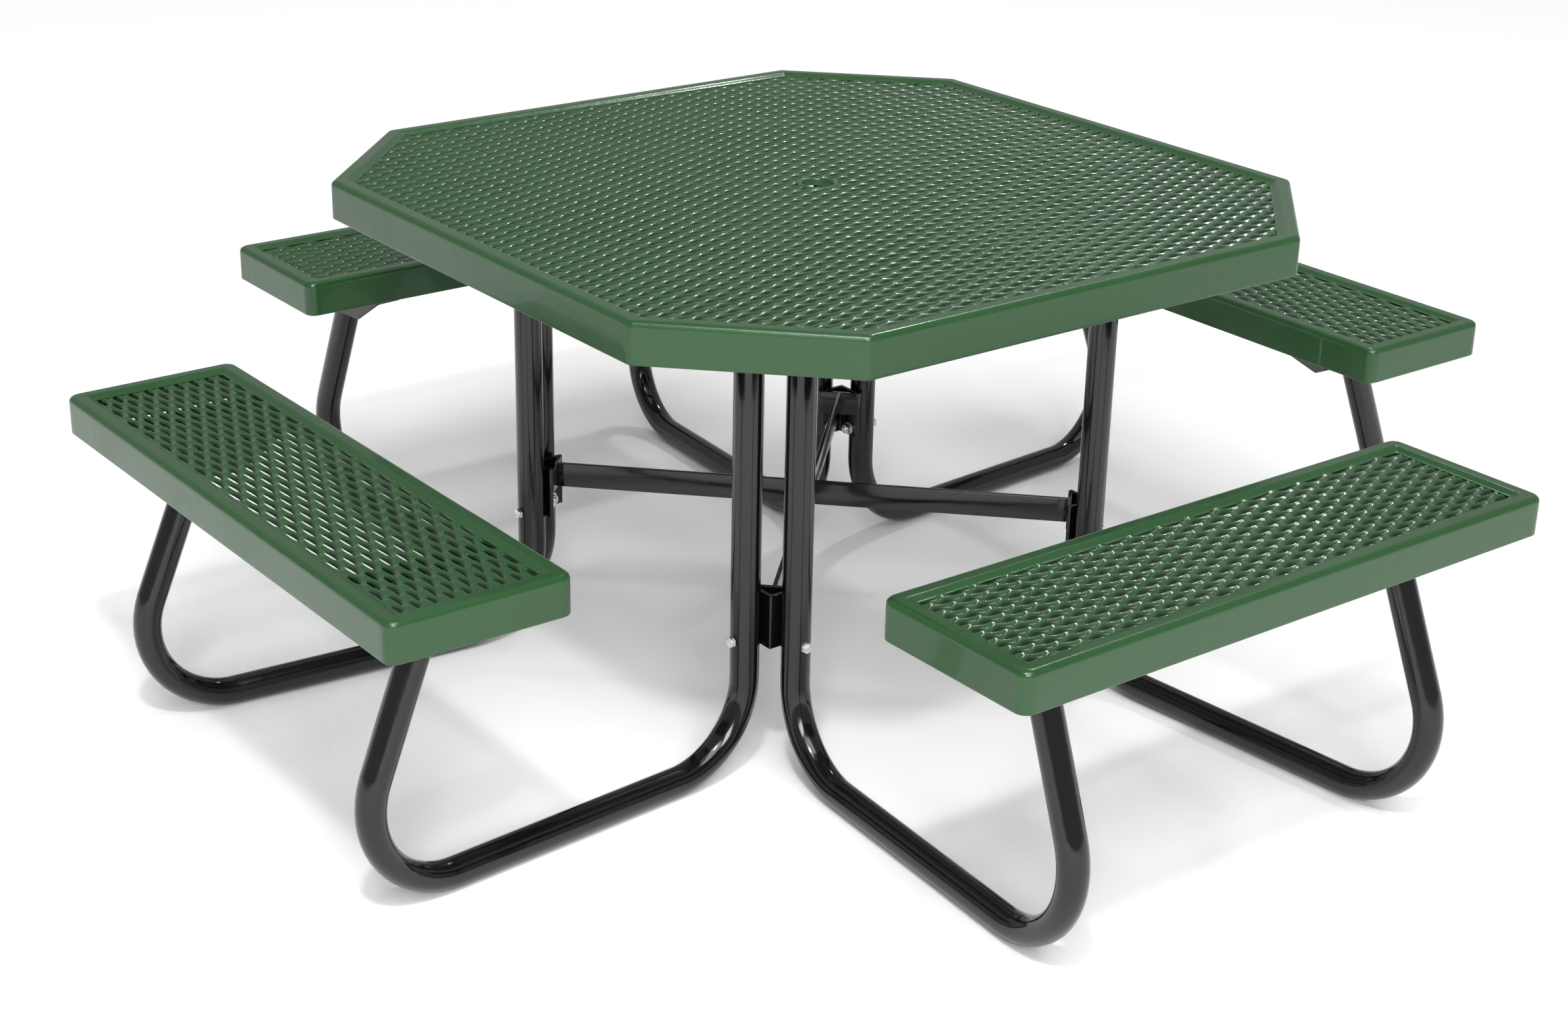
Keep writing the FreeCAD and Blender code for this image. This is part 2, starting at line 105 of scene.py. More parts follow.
@dataclass
class Skin:
    """Points in millimetres and the faces between them."""

    points: np.ndarray
    faces: list[list[int]]

    def __add__(self, other: "Skin") -> "Skin":
        """Both skins as one.

        Args:
            other: the skin that is added.

        Returns:
            The joined skin.
        """
        shift = len(self.points)
        moved = [[corner + shift for corner in face] for face in other.faces]
        return Skin(np.vstack([self.points, other.points]), self.faces + moved)

    def mapped(self, matrix: np.ndarray, offset: Sequence[float] = (0, 0, 0)) -> "Skin":
        """The skin with each point p at matrix * p + offset."""
        points = self.points @ np.asarray(matrix, float).T + np.asarray(offset, float)
        return Skin(points, self.faces)

    def turned(self, degrees: float) -> "Skin":
        """The skin turned about the upright axis through the origin."""
        return self.mapped(turn_matrix(degrees))

    def moved(self, x: float, y: float, z: float = 0.0) -> "Skin":
        """The skin moved without turning."""
        return self.mapped(np.eye(3), (x, y, z))


def turn_matrix(degrees: float) -> np.ndarray:
    """Matrix of a turn about the upright axis.

    Args:
        degrees: the turn, from X towards Y.

    Returns:
        Array of 3 x 3.
    """
    angle = math.radians(degrees)
    c, s = math.cos(angle), math.sin(angle)
    return np.array([[c, -s, 0], [s, c, 0], [0, 0, 1.0]])


def grid_faces(rows: int, columns: int, wrap_rows: bool, wrap_columns: bool = True) -> np.ndarray:
    """Quads of a grid of points.

    Args:
        rows: number of rows of points.
        columns: number of points in each row.
        wrap_rows: whether the last row joins the first.
        wrap_columns: whether the last point of a row joins its first.

    Returns:
        One row of four point numbers for each quad. A quad faces along
        (direction of columns) x (direction of rows).
    """
    row = np.arange(rows if wrap_rows else rows - 1)[:, None]
    column = np.arange(columns if wrap_columns else columns - 1)[None, :]
    row_on = (row + 1) % rows
    column_on = (column + 1) % columns
    quads = [row * columns + column, row * columns + column_on,
             row_on * columns + column_on, row_on * columns + column]
    return np.stack(quads, axis=-1).reshape(-1, 4)


def grid_skin(points: np.ndarray, wrap_rows: bool, caps: bool = False) -> Skin:
    """A skin over a grid of points that wraps along its columns.

    Args:
        points: array of rows x columns x 3.
        wrap_rows: whether the last row joins the first.
        caps: whether flat faces close the first and the last row.

    Returns:
        The skin.
    """
    rows, columns = points.shape[:2]
    faces = grid_faces(rows, columns, wrap_rows).tolist()
    if caps:
        first = list(range(columns))
        faces.append(first[::-1])
        faces.append([corner + (rows - 1) * columns for corner in first])
    return Skin(points.reshape(-1, 3), faces)


def side_normals(corners: np.ndarray) -> tuple[np.ndarray, np.ndarray]:
    """Outward normals on either side of each corner of a polygon that turns left.

    Args:
        corners: array of ... x corners x 2.

    Returns:
        The normals of the side before and of the side after each corner.
    """
    along = np.roll(corners, -1, axis=-2) - corners
    along = along / np.linalg.norm(along, axis=-1, keepdims=True)
    after = np.stack([along[..., 1], -along[..., 0]], axis=-1)
    return np.roll(after, 1, axis=-2), after


def inset(corners: np.ndarray, depth: np.ndarray | float) -> np.ndarray:
    """A polygon moved inward: corner - depth * (n1 + n2) / (1 + n1 . n2).

    Args:
        corners: array of corners x 2.
        depth: how far each side moves; an array gives one polygon for each value.

    Returns:
        Array of corners x 2, or of depths x corners x 2.
    """
    before, after = side_normals(corners)
    mitre = (before + after) / (1 + (before * after).sum(-1, keepdims=True))
    return corners - np.asarray(depth, float)[..., None, None] * mitre


def rounded(corners: np.ndarray, radius: np.ndarray | float, arc_steps: int,
            stations: Sequence[float] = ()) -> np.ndarray:
    """Points along polygons whose corners are arcs.

    An arc's centre is corner - r * (n1 + n2) / (1 + n1 . n2), where n1 and n2 are the
    normals of the two sides, and its points are centre + r * (directions that turn evenly
    from n1 to n2). At a corner that turns the other way r is negative.

    Args:
        corners: array of ... x corners x 2, turning left.
        radius: radius of each arc.
        arc_steps: points on each arc.
        stations: further points on each side, as shares of its length between arcs.

    Returns:
        Array of ... x points x 2.
    """
    before, after = side_normals(corners)
    dot = (before * after).sum(-1)
    turn = np.arctan2(before[..., 0] * after[..., 1] - before[..., 1] * after[..., 0], dot)
    signed = np.broadcast_to(radius, turn.shape) * np.sign(turn)
    centre = corners - signed[..., None] * (before + after) / (1 + dot)[..., None]
    start = np.arctan2(before[..., 1], before[..., 0])
    angle = start[..., None] + turn[..., None] * np.linspace(0, 1, arc_steps)
    spokes = np.stack([np.cos(angle), np.sin(angle)], axis=-1)
    arcs = centre[..., None, :] + signed[..., None, None] * spokes
    share = np.asarray(stations, float)[:, None]
    here = arcs[..., -1:, :]
    there = np.roll(arcs, -1, axis=-3)[..., :1, :]
    loop = np.concatenate([arcs, here * (1 - share) + there * share], axis=-2)
    return loop.reshape(*corners.shape[:-2], -1, 2)


def box_corners(x_low: float, x_high: float, y_low: float, y_high: float) -> np.ndarray:
    """Corners of a rectangle, turning left."""
    return np.array([[x_low, y_low], [x_high, y_low], [x_high, y_high], [x_low, y_high]], float)


def slab(corners: np.ndarray, low: float, high: float, corner_radius: float = 1.2,
         edge_radius: float = 0.8) -> Skin:
    """A flat plate with rounded corners and edges.

    The outline is inset by e * (1 - sin t) at height e * (1 - cos t) above the bottom and
    below the top, for t from 0 to a right angle and edge radius e.

    Args:
        corners: outline in plan, turning left.
        low: height of the underside.
        high: height of the top.
        corner_radius: rounding in plan.
        edge_radius: rounding of the edges round both flat faces.

    Returns:
        The closed skin.
    """
    t = np.linspace(0, math.pi / 2, 4)
    depth = edge_radius * (1 - np.sin(t))
    rise = edge_radius * (1 - np.cos(t))
    depths = np.concatenate([depth, depth[::-1]])
    heights = np.concatenate([low + rise, high - rise[::-1]])
    radii = np.maximum(corner_radius - depths, 0.2)[:, None]
    plan = rounded(inset(corners, depths), radii, 4, (0.02, 0.98))
    height = np.broadcast_to(heights[:, None, None], plan.shape[:2] + (1,))
    return grid_skin(np.concatenate([plan, height], axis=-1), wrap_rows=False, caps=True)


def lathe(profile: np.ndarray, steps: int) -> Skin:
    """A closed ring: each profile point (r, z) carried once round the upright axis.

    Args:
        profile: closed loop of (radius, height) points that turns left.
        steps: number of steps round the axis.

    Returns:
        The closed skin.
    """
    angle = np.arange(steps) * 2 * math.pi / steps
    radius = profile[:, 0][:, None]
    height = np.broadcast_to(profile[:, 1][:, None], (len(profile), steps))
    points = np.stack([radius * np.cos(angle), radius * np.sin(angle), height], axis=-1)
    return grid_skin(points, wrap_rows=True)


def bead(path: np.ndarray, outward: np.ndarray, radius: float, ripples: int) -> Skin:
    """A weld bead round a closed path in a level plane.

    A point is path + r * (cos v * up + sin v * outward), with r swelling by a tenth at
    each ripple that the torch leaves.

    Args:
        path: points along the joint, turning left.
        outward: unit vector away from the tube at each point.
        radius: radius of the bead.
        ripples: number of ripples round the path.

    Returns:
        The closed skin.
    """
    u = np.arange(len(path)) * 2 * math.pi / len(path)
    v = np.arange(8) * math.pi / 4
    size = radius * (1 + 0.1 * np.cos(ripples * u))[:, None, None]
    up = np.array([0, 0, 1.0])
    ring = np.cos(v)[None, :, None] * up + np.sin(v)[None, :, None] * outward[:, None, :]
    return grid_skin(path[:, None, :] + size * ring, wrap_rows=True)


# Finishes ---------------------------------------------------------------------------


def linear(hex_colour: str) -> tuple[float, float, float, float]:
    """An sRGB hex value as linear colour with full alpha.

    A share up to 0.04045 is divided by 12.92, and a larger one becomes
    ((share + 0.055) / 1.055) to the power 2.4.

    Args:
        hex_colour: the colour as #RRGGBB.

    Returns:
        Red, green, blue and alpha, from 0 to 1.
    """
    shares = np.array([int(hex_colour[i:i + 2], 16) for i in (1, 3, 5)]) / 255
    values = np.where(shares <= 0.04045, shares / 12.92, ((shares + 0.055) / 1.055) ** 2.4)
    return (*values.tolist(), 1.0)


def add_node(tree: bpy.types.NodeTree, kind: str, inputs: dict | None = None,
             **settings: object) -> bpy.types.Node:
    """Add one node with its settings, and set or link its inputs.

    Args:
        tree: node tree that gets the node.
        kind: Blender's name for the node type.
        inputs: input sockets, each with a value or with the output it is linked from.
        settings: properties of the node.

    Returns:
        The node.
    """
    node = tree.nodes.new(kind)
    for key, value in settings.items():
        setattr(node, key, value)
    for socket, value in (inputs or {}).items():
        if isinstance(value, bpy.types.NodeSocket):
            tree.links.new(value, node.inputs[socket])
        else:
            node.inputs[socket].default_value = value
    return node


@dataclass(frozen=True)
class Finish:
    """A coated or plated surface with a cast of colour and a fine relief.

    Sizes are in millimetres. Relief is the height of the surface's texture, and wave the
    height of the slower unevenness under it. Where a hollow level is given, a painted shade
    darkens the colour below that height, inside the openings of a panel.
    """

    slot: str
    colour: str
    second_colour: str
    roughness: float
    second_roughness: float
    relief_pitch: float
    relief: float
    wave_pitch: float
    wave: float
    cast_pitch: float
    metallic: float = 0.0
    specular: float = 0.5
    coat: float = 0.0
    coat_roughness: float = 0.1
    variant: str = ""
    # Painted shade inside a panel's openings: the height where it starts, how far down it fades
    # in, and its colour.
    hollow_level: float = 0.0
    hollow_depth: float = 2.4
    hollow_colour: str = "#081A0A"

    def material(self) -> bpy.types.Material:
        """The finish as a material, made once."""
        return build_material(self)


@lru_cache(maxsize=None)
def build_material(finish: Finish) -> bpy.types.Material:
    """Nodes of a finish: cast of colour and gloss, fine relief over slow waves.

    Args:
        finish: the finish to build.

    Returns:
        The material.
    """
    material = bpy.data.materials.new(finish.slot + finish.variant)
    material.use_nodes = True
    tree = material.node_tree
    tree.nodes.clear()
    place = add_node(tree, "ShaderNodeTexCoord").outputs["Object"]

    def noise(pitch: float, detail: float) -> bpy.types.NodeSocket:
        """Noise whose features are one pitch across.

        Args:
            pitch: size of a feature, in millimetres.
            detail: how many finer layers are added.

        Returns:
            The noise's output.
        """
        scale = 1 / (pitch * MM)
        values = {"Vector": place, "Scale": scale, "Detail": detail, "Roughness": 0.5}
        return add_node(tree, "ShaderNodeTexNoise", values).outputs["Fac"]

    cast = noise(finish.cast_pitch, 3.0)
    colour = add_node(tree, "ShaderNodeMix", {"Factor": cast}, data_type="RGBA")
    colour.inputs[6].default_value = linear(finish.colour)
    colour.inputs[7].default_value = linear(finish.second_colour)
    base = colour.outputs[2]
    # Painted shade: below the hollow level the colour is mixed towards a dark green, so the
    # openings read as shaded.
    if finish.hollow_level > 0:
        height = add_node(tree, "ShaderNodeSeparateXYZ", {"Vector": place}).outputs["Z"]
        depth = add_node(tree, "ShaderNodeMapRange",
                         {"Value": height, "From Min": finish.hollow_level * MM,
                          "From Max": (finish.hollow_level - finish.hollow_depth) * MM},
                         interpolation_type="SMOOTHSTEP")
        deep = add_node(tree, "ShaderNodeMix", {"Factor": depth.outputs["Result"]},
                        data_type="RGBA")
        tree.links.new(base, deep.inputs[6])
        deep.inputs[7].default_value = linear(finish.hollow_colour)
        base = deep.outputs[2]
    # The noise stays mostly between the two values that the gloss is spread over.
    gloss = add_node(tree, "ShaderNodeMapRange",
                     {"Value": cast, "From Min": 0.35, "From Max": 0.65,
                      "To Min": finish.roughness, "To Max": finish.second_roughness})
    wave = add_node(tree, "ShaderNodeBump",
                    {"Height": noise(finish.wave_pitch, 1.0), "Distance": finish.wave * MM,
                     "Strength": 1.0})
    relief = add_node(tree, "ShaderNodeBump",
                      {"Height": noise(finish.relief_pitch, 2.0), "Distance": finish.relief * MM,
                       "Strength": 1.0, "Normal": wave.outputs["Normal"]})
    shader = add_node(tree, "ShaderNodeBsdfPrincipled",
                      {"Base Color": base, "Roughness": gloss.outputs["Result"],
                       "Normal": relief.outputs["Normal"], "Metallic": finish.metallic,
                       "Specular IOR Level": finish.specular, "Coat Weight": finish.coat,
                       "Coat Roughness": finish.coat_roughness})
    add_node(tree, "ShaderNodeOutputMaterial", {"Surface": shader.outputs["BSDF"]})
    return material


# Hot-dipped vinyl over steel: thick, satin to glossy, rounds every edge, and its skin is
# slightly uneven, so highlights are soft with a bright core.
GREEN_PLASTISOL = Finish("green_plastisol", "#173F1A", "#1C4720", 0.24, 0.34, relief_pitch=2.2,
                         relief=0.03, wave_pitch=22, wave=0.35, cast_pitch=140, specular=0.45,
                         coat=0.25, coat_roughness=0.05)
# The same coating on the two heights of panel, with a shade painted inside the openings so
# that every strand stands out.
TABLE_PANEL_COAT = replace(GREEN_PLASTISOL, variant="_table_panel", hollow_level=730.7)
SEAT_PANEL_COAT = replace(GREEN_PLASTISOL, variant="_seat_panel", hollow_level=461.9)
# Baked black powder coat: deep and glossy, with a faint orange peel that breaks the edges
# of the long reflections along the tubes.
BLACK_POWDER_COAT = Finish("black_powder_coat", "#060606", "#0B0B0C", 0.09, 0.16, relief_pitch=1.6,
                           relief=0.014, wave_pitch=26, wave=0.2, cast_pitch=90, specular=0.55)
# Bright zinc plate on rolled steel: a pale metal with a slightly cloudy gloss.
ZINC_PLATE = Finish("zinc_plate", "#E0E2E4", "#C4C8CC", 0.2, 0.32, relief_pitch=0.8, relief=0.01,
                    wave_pitch=5, wave=0.02, cast_pitch=6, metallic=1.0)


def make_piece(name: str, skin: Skin, finish: Finish, nodes: Sequence[str],
               cuts: Sequence[tuple[Sequence[float], Sequence[float]]] = ()) -> bpy.types.Object:
    """Turn a skin into a finished piece that rides on the frame.

    Args:
        name: the piece's name.
        skin: its surface, in millimetres.
        finish: its finish.
        nodes: CAD nodes that it stands for.
        cuts: planes as (point, outward normal); what lies outside is cut off and the cut
            ends are closed.

    Returns:
        The object.
    """
    mesh = bpy.data.meshes.new(name)
    mesh.from_pydata(skin.points * MM, [], skin.faces)
    if cuts:
        cut_back(mesh, cuts)
    mesh.polygons.foreach_set("use_smooth", np.ones(len(mesh.polygons), bool))
    mesh.set_sharp_from_angle(angle=SHARP_ANGLE)
    mesh.materials.append(finish.material())
    mesh.update()
    piece = bpy.data.objects.new(name, mesh)
    bpy.context.scene.collection.objects.link(piece)
    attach(piece, "root")
    if nodes:
        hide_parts(*nodes)
    LOG.info("%s: %d faces", name, len(mesh.polygons))
    return piece


def cut_back(mesh: bpy.types.Mesh,
             cuts: Sequence[tuple[Sequence[float], Sequence[float]]]) -> None:
    """Cut a mesh at planes and close the cut ends.

    Args:
        mesh: the mesh, in metres.
        cuts: planes as (point in millimetres, outward normal).
    """
    shell = bmesh.new()
    shell.from_mesh(mesh)
    for point, normal in cuts:
        everything = shell.verts[:] + shell.edges[:] + shell.faces[:]
        bmesh.ops.bisect_plane(shell, geom=everything, dist=1e-6, plane_co=Vector(point) * MM,
                               plane_no=Vector(normal), clear_outer=True)
    open_edges = [edge for edge in shell.edges if edge.is_boundary]
    bmesh.ops.holes_fill(shell, edges=open_edges, sides=0)
    shell.to_mesh(mesh)
    shell.free()


# Rims and panels --------------------------------------------------------------------


@dataclass
class Rim:
    """A formed skirt with a lip turned in at its top, under a thick dip coating.

    The coating runs down from the lip's inner edge onto the panel in a smooth ramp.
    """

    corners: np.ndarray
    top: float
    depth: float
    wall: float = 5.0
    lip: float = 20.0
    edge_radius: float = 8.0
    corner_radius: float = 12.0
    lip_corner_radius: float = 4.0
    bead_radius: float = 2.2
    ramp: float = 11.0

    def profile(self) -> np.ndarray:
        """Closed section as (distance in from the skirt, height), going up the outside.

        The two corners of the coating's ramp are replaced by half a cosine wave that falls
        from the lip's top to the panel.

        Returns:
            Array of points x 2.
        """
        bottom, top = self.top - self.depth, self.top
        ramp_end, ramp_bottom = self.lip + self.ramp, top - self.wall - 0.4
        section = np.array([[-self.wall, bottom], [0, bottom], [0, top], [-self.lip, top],
                            [-ramp_end, ramp_bottom], [-ramp_end, ramp_bottom - 1.6],
                            [-self.lip, top - self.wall], [-self.wall, top - self.wall]], float)
        radii = np.array([self.bead_radius, self.bead_radius, self.edge_radius, 7.0, 0.5, 0.5, 1.0,
                          self.edge_radius - self.wall])
        loop = rounded(section, radii, 7, (0.04, 0.96)).reshape(len(section), -1, 2)
        share = np.linspace(0, 1, 12)
        fall = (top - ramp_bottom) * (1 - np.cos(math.pi * share)) / 2
        ramp = np.stack([-(self.lip - 1) - (self.ramp + 1) * share, top - fall], axis=-1)
        loop = np.concatenate([loop[:3].reshape(-1, 2), ramp, loop[5:].reshape(-1, 2)])
        loop[:, 0] *= -1
        return loop

    def skin(self) -> Skin:
        """The section carried round the outline.

        A section point that lies d in from the skirt follows the outline inset by d, whose
        corner radius goes evenly from the skirt's to the lip's.

        Returns:
            The closed skin.
        """
        section = self.profile()
        depth = section[:, 0]
        share = np.clip(depth / self.lip, 0, 1)
        radius = self.corner_radius + (self.lip_corner_radius - self.corner_radius) * share
        stations = (0.01, 0.25, 0.5, 0.75, 0.99)
        plan = rounded(inset(self.corners, depth), radius[:, None], 9, stations)
        height = np.broadcast_to(section[:, 1][:, None, None], plan.shape[:2] + (1,))
        return grid_skin(np.concatenate([plan, height], axis=-1), wrap_rows=True)


@dataclass
class StrandPanel:
    """A coated expanded steel panel: a net of strands round diamond openings.

    The long diagonals lie along Y. Each opening has its own diamond cell, whose edge is
    the middle line of the strands round it. A cell's surface runs from that line down
    through the opening to the line on the underside:

    plan = edge * (1 - sin v) + opening * sin v
    height = half thickness * cos v + lean * sin v * (x / half width)

    for v from 0 to half a turn. The half thickness goes from the strand's to the knuckle's
    with the square of cos 2 u, where u is the angle round the opening. The lean raises one
    side of every strand, as the stretched sheet has it, and the coating makes it all plump.
    """

    corners: np.ndarray
    top: float
    middle: float = 0.0
    centre_hole: float = 0.0
    thickness: float = 6.0
    short_pitch: float = 23.0
    long_pitch: float = 52.0
    opening_width: float = 9.2
    opening_length: float = 32.0
    edge_inset: float = 8.4
    half_strand: float = 1.6
    half_knuckle: float = 2.9
    lean: float = 2.8
    squareness: float = 1.45
    steps_round: int = 16
    stations: tuple[float, ...] = (0, 27, 56, 95, 180)

    def centres(self, low: tuple[float, float], high: tuple[float, float]) -> np.ndarray:
        """Middles of the openings in a region: two grids, half a pitch apart both ways.

        Args:
            low: the region's least x and y.
            high: the region's greatest x and y.

        Returns:
            Array of openings x 2.
        """
        rows = np.arange(math.floor(low[1] / self.long_pitch * 2) - 1,
                         math.ceil(high[1] / self.long_pitch * 2) + 2)
        columns = np.arange(math.floor((low[0] - self.middle) / self.short_pitch) - 1,
                            math.ceil((high[0] - self.middle) / self.short_pitch) + 2)
        row, column = np.meshgrid(rows, columns, indexing="ij")
        x = self.middle + (column + (row % 2) / 2) * self.short_pitch
        y = row * self.long_pitch / 2
        return np.stack([x, y], axis=-1).reshape(-1, 2)

    def cell(self) -> np.ndarray:
        """One cell's points round an opening at the origin, as rows x columns x 3.

        Returns:
            Array of stations x steps round x 3.
        """
        angle = np.arange(self.steps_round) * 2 * math.pi / self.steps_round
        c, s = np.cos(angle), np.sin(angle)
        pitch = np.array([self.short_pitch, self.long_pitch])
        edge = np.stack([c * np.abs(c), s * np.abs(s)], -1) * pitch / 2
        power = 2 / self.squareness
        hole_x = np.sign(c) * np.abs(c) ** power
        hole_y = np.sign(s) * np.abs(s) ** power
        hole = np.stack([hole_x * self.opening_width, hole_y * self.opening_length], -1) / 2
        v = np.radians(self.stations)[:, None]
        plan = edge * (1 - np.sin(v))[..., None] + hole * np.sin(v)[..., None]
        knuckle = np.cos(2 * angle) ** 2
        half = self.half_strand + (self.half_knuckle - self.half_strand) * knuckle
        height = half * np.cos(v) + self.lean * np.sin(v) * hole_x
        return np.concatenate([plan, height[..., None]], axis=-1)

    def skin(self, low: tuple[float, float], high: tuple[float, float]) -> Skin:
        """All cells in a region, with the points that neighbours share made one.

        At a centre hole the faces inside it are left out, and the points of the faces that
        cross its edge move out along their spokes to that edge.

        Args:
            low: the region's least x and y.
            high: the region's greatest x and y.

        Returns:
            The skin, still open along its outline.
        """
        centres = self.centres(low, high)
        cell = self.cell()
        level = self.top - self.thickness / 2
        spots = np.concatenate([centres, np.full((len(centres), 1), level)], axis=-1)
        points = (spots[:, None, None, :] + cell[None]).reshape(-1, 3)
        count = cell.shape[0] * cell.shape[1]
        quads = grid_faces(cell.shape[0], cell.shape[1], wrap_rows=False)
        faces = (np.arange(len(centres))[:, None, None] * count + quads[None]).reshape(-1, 4)
        # Points that agree to a ten-thousandth of a millimetre are one.
        _, first, shared = np.unique(np.round(points * 1e4).astype(np.int64), axis=0,
                                     return_index=True, return_inverse=True)
        points, faces = points[first], shared.reshape(-1)[faces]
        if self.centre_hole > 0:
            radius = np.hypot(points[:, 0], points[:, 1])
            faces = faces[(radius[faces] >= self.centre_hole).any(axis=1)]
            wanted = np.maximum(radius, self.centre_hole)
            points[:, :2] *= (wanted / np.maximum(radius, 1e-6))[:, None]
        used, numbers = np.unique(faces, return_inverse=True)
        return Skin(points[used], numbers.reshape(faces.shape).tolist())

    def edge_cuts(self) -> list[tuple[tuple[float, float, float], tuple[float, float, float]]]:
        """The planes of the panel's outline.

        Returns:
            For each side, a point on it and its outward normal.
        """
        edge = inset(self.corners, self.edge_inset)
        _, normals = side_normals(edge)
        pairs = zip(edge.tolist(), normals.tolist())
        return [((*point, 0.0), (*normal, 0.0)) for point, normal in pairs]


@dataclass
class TableTop:
    """Rim, panel, umbrella collar and the straps under the panel."""

    width: float = 1168.4
    corner_cut: float = 208.0
    top: float = 736.6
    rim_depth: float = 57.0
    rim_wall: float = 5.0
    bore: float = 22.5
    collar_wall: float = 7.5
    collar_rise: float = 1.0
    collar_overlap: float = 1.0
    flange_width: float = 15.0
    flange_thickness: float = 4.0
    strap_width: float = 100.0
    strap_thickness: float = 6.0
    strap_line: float = 299.0
    strap_top: float = top - rim_wall - StrandPanel.thickness
    strap_underside: float = strap_top - strap_thickness

    def corners(self) -> np.ndarray:
        """The eight corners in plan, turning left.

        Returns:
            Array of 8 x 2.
        """
        half, short = self.width / 2, self.width / 2 - self.corner_cut
        first = np.array([[half, -short], [half, short]])
        turns = [first @ turn_matrix(90 * turn)[:2, :2].T for turn in range(4)]
        return np.concatenate(turns)

    def build(self) -> None:
        """Make and dress the pieces of the table top."""
        corners = self.corners()
        rim = Rim(corners, self.top, self.rim_depth)
        make_piece("table_rim_coated", rim.skin(), GREEN_PLASTISOL, ["table_rim"])
        panel = StrandPanel(corners, self.top - self.rim_wall,
                            centre_hole=self.bore + self.collar_wall - self.collar_overlap)
        reach = self.width / 2
        for sign_x, sign_y in ((1, 1), (-1, 1), (-1, -1), (1, -1)):
            low = (min(0, sign_x * reach), min(0, sign_y * reach))
            high = (max(0, sign_x * reach), max(0, sign_y * reach))
            middle = (0.0, 0.0, 0.0)
            cuts = panel.edge_cuts() + [(middle, (-sign_x, 0, 0)), (middle, (0, -sign_y, 0))]
            word = ("right" if sign_x > 0 else "left") + ("_back" if sign_y > 0 else "_front")
            make_piece("table_panel_" + word, panel.skin(low, high), TABLE_PANEL_COAT,
                       ["table_mesh"], cuts)
        make_piece("umbrella_collar_coated", self.collar(), GREEN_PLASTISOL, ["umbrella_collar"])
        for sign, word in ((1, "back"), (-1, "front")):
            make_piece("top_strap_coated_" + word, self.strap(sign), GREEN_PLASTISOL,
                       ["top_strap_" + word])

    def collar(self) -> Skin:
        """The collar's section turned round the umbrella pole's axis.

        Returns:
            The closed skin.
        """
        panel_top = self.top - self.rim_wall
        low = panel_top - StrandPanel.thickness - self.flange_thickness
        neck = self.bore + self.collar_wall
        flange = neck + self.flange_width
        section = np.array([[self.bore, low], [flange, low], [flange, low + self.flange_thickness],
                            [neck, low + self.flange_thickness],
                            [neck, panel_top + self.collar_rise],
                            [self.bore, panel_top + self.collar_rise]])
        radii = np.array([1.5, 1.5, 1.5, 1.0, 3.2, 3.2])
        return lathe(rounded(section, radii, 6, NEAR_ENDS), 64)

    def strap(self, sign: int) -> Skin:
        """The strap on one side, from rim to rim.

        Args:
            sign: +1 for the back one, -1 for the front one.

        Returns:
            The closed skin.
        """
        reach = self.width / 2 - self.rim_wall - END_CLEARANCE
        middle = sign * self.strap_line
        half = self.strap_width / 2
        outline = box_corners(-reach, reach, middle - half, middle + half)
        return slab(outline, self.strap_underside, self.strap_top, corner_radius=3.0,
                    edge_radius=2.0)


# Benches ----------------------------------------------------------------------------


@dataclass
class LegPlan:
    """Sizes that the legs share with the brackets, channels and fasteners."""

    post_out: float = 324.0
    post_across: float = 274.0
    splay: float = 4.7
    tube_radius: float = 20.65

    def place(self, skin: Skin, side: int, seat: Seat) -> Skin:
        """Move a piece from a leg's own frame to its place beside a bench."""
        splayed = skin.turned(side * self.splay)
        return splayed.moved(self.post_out, side * self.post_across).turned(90 * seat.value)

    def spot(self, along: float, side: int) -> tuple[float, float]:
        """A point on a leg's own X axis, beside the +X bench.

        Args:
            along: distance from the post's axis.
            side: +1 for the leg towards +Y, -1 for the other.

        Returns:
            Its x and y.
        """
        angle = math.radians(side * self.splay)
        return (self.post_out + along * math.cos(angle),
                side * self.post_across + along * math.sin(angle))


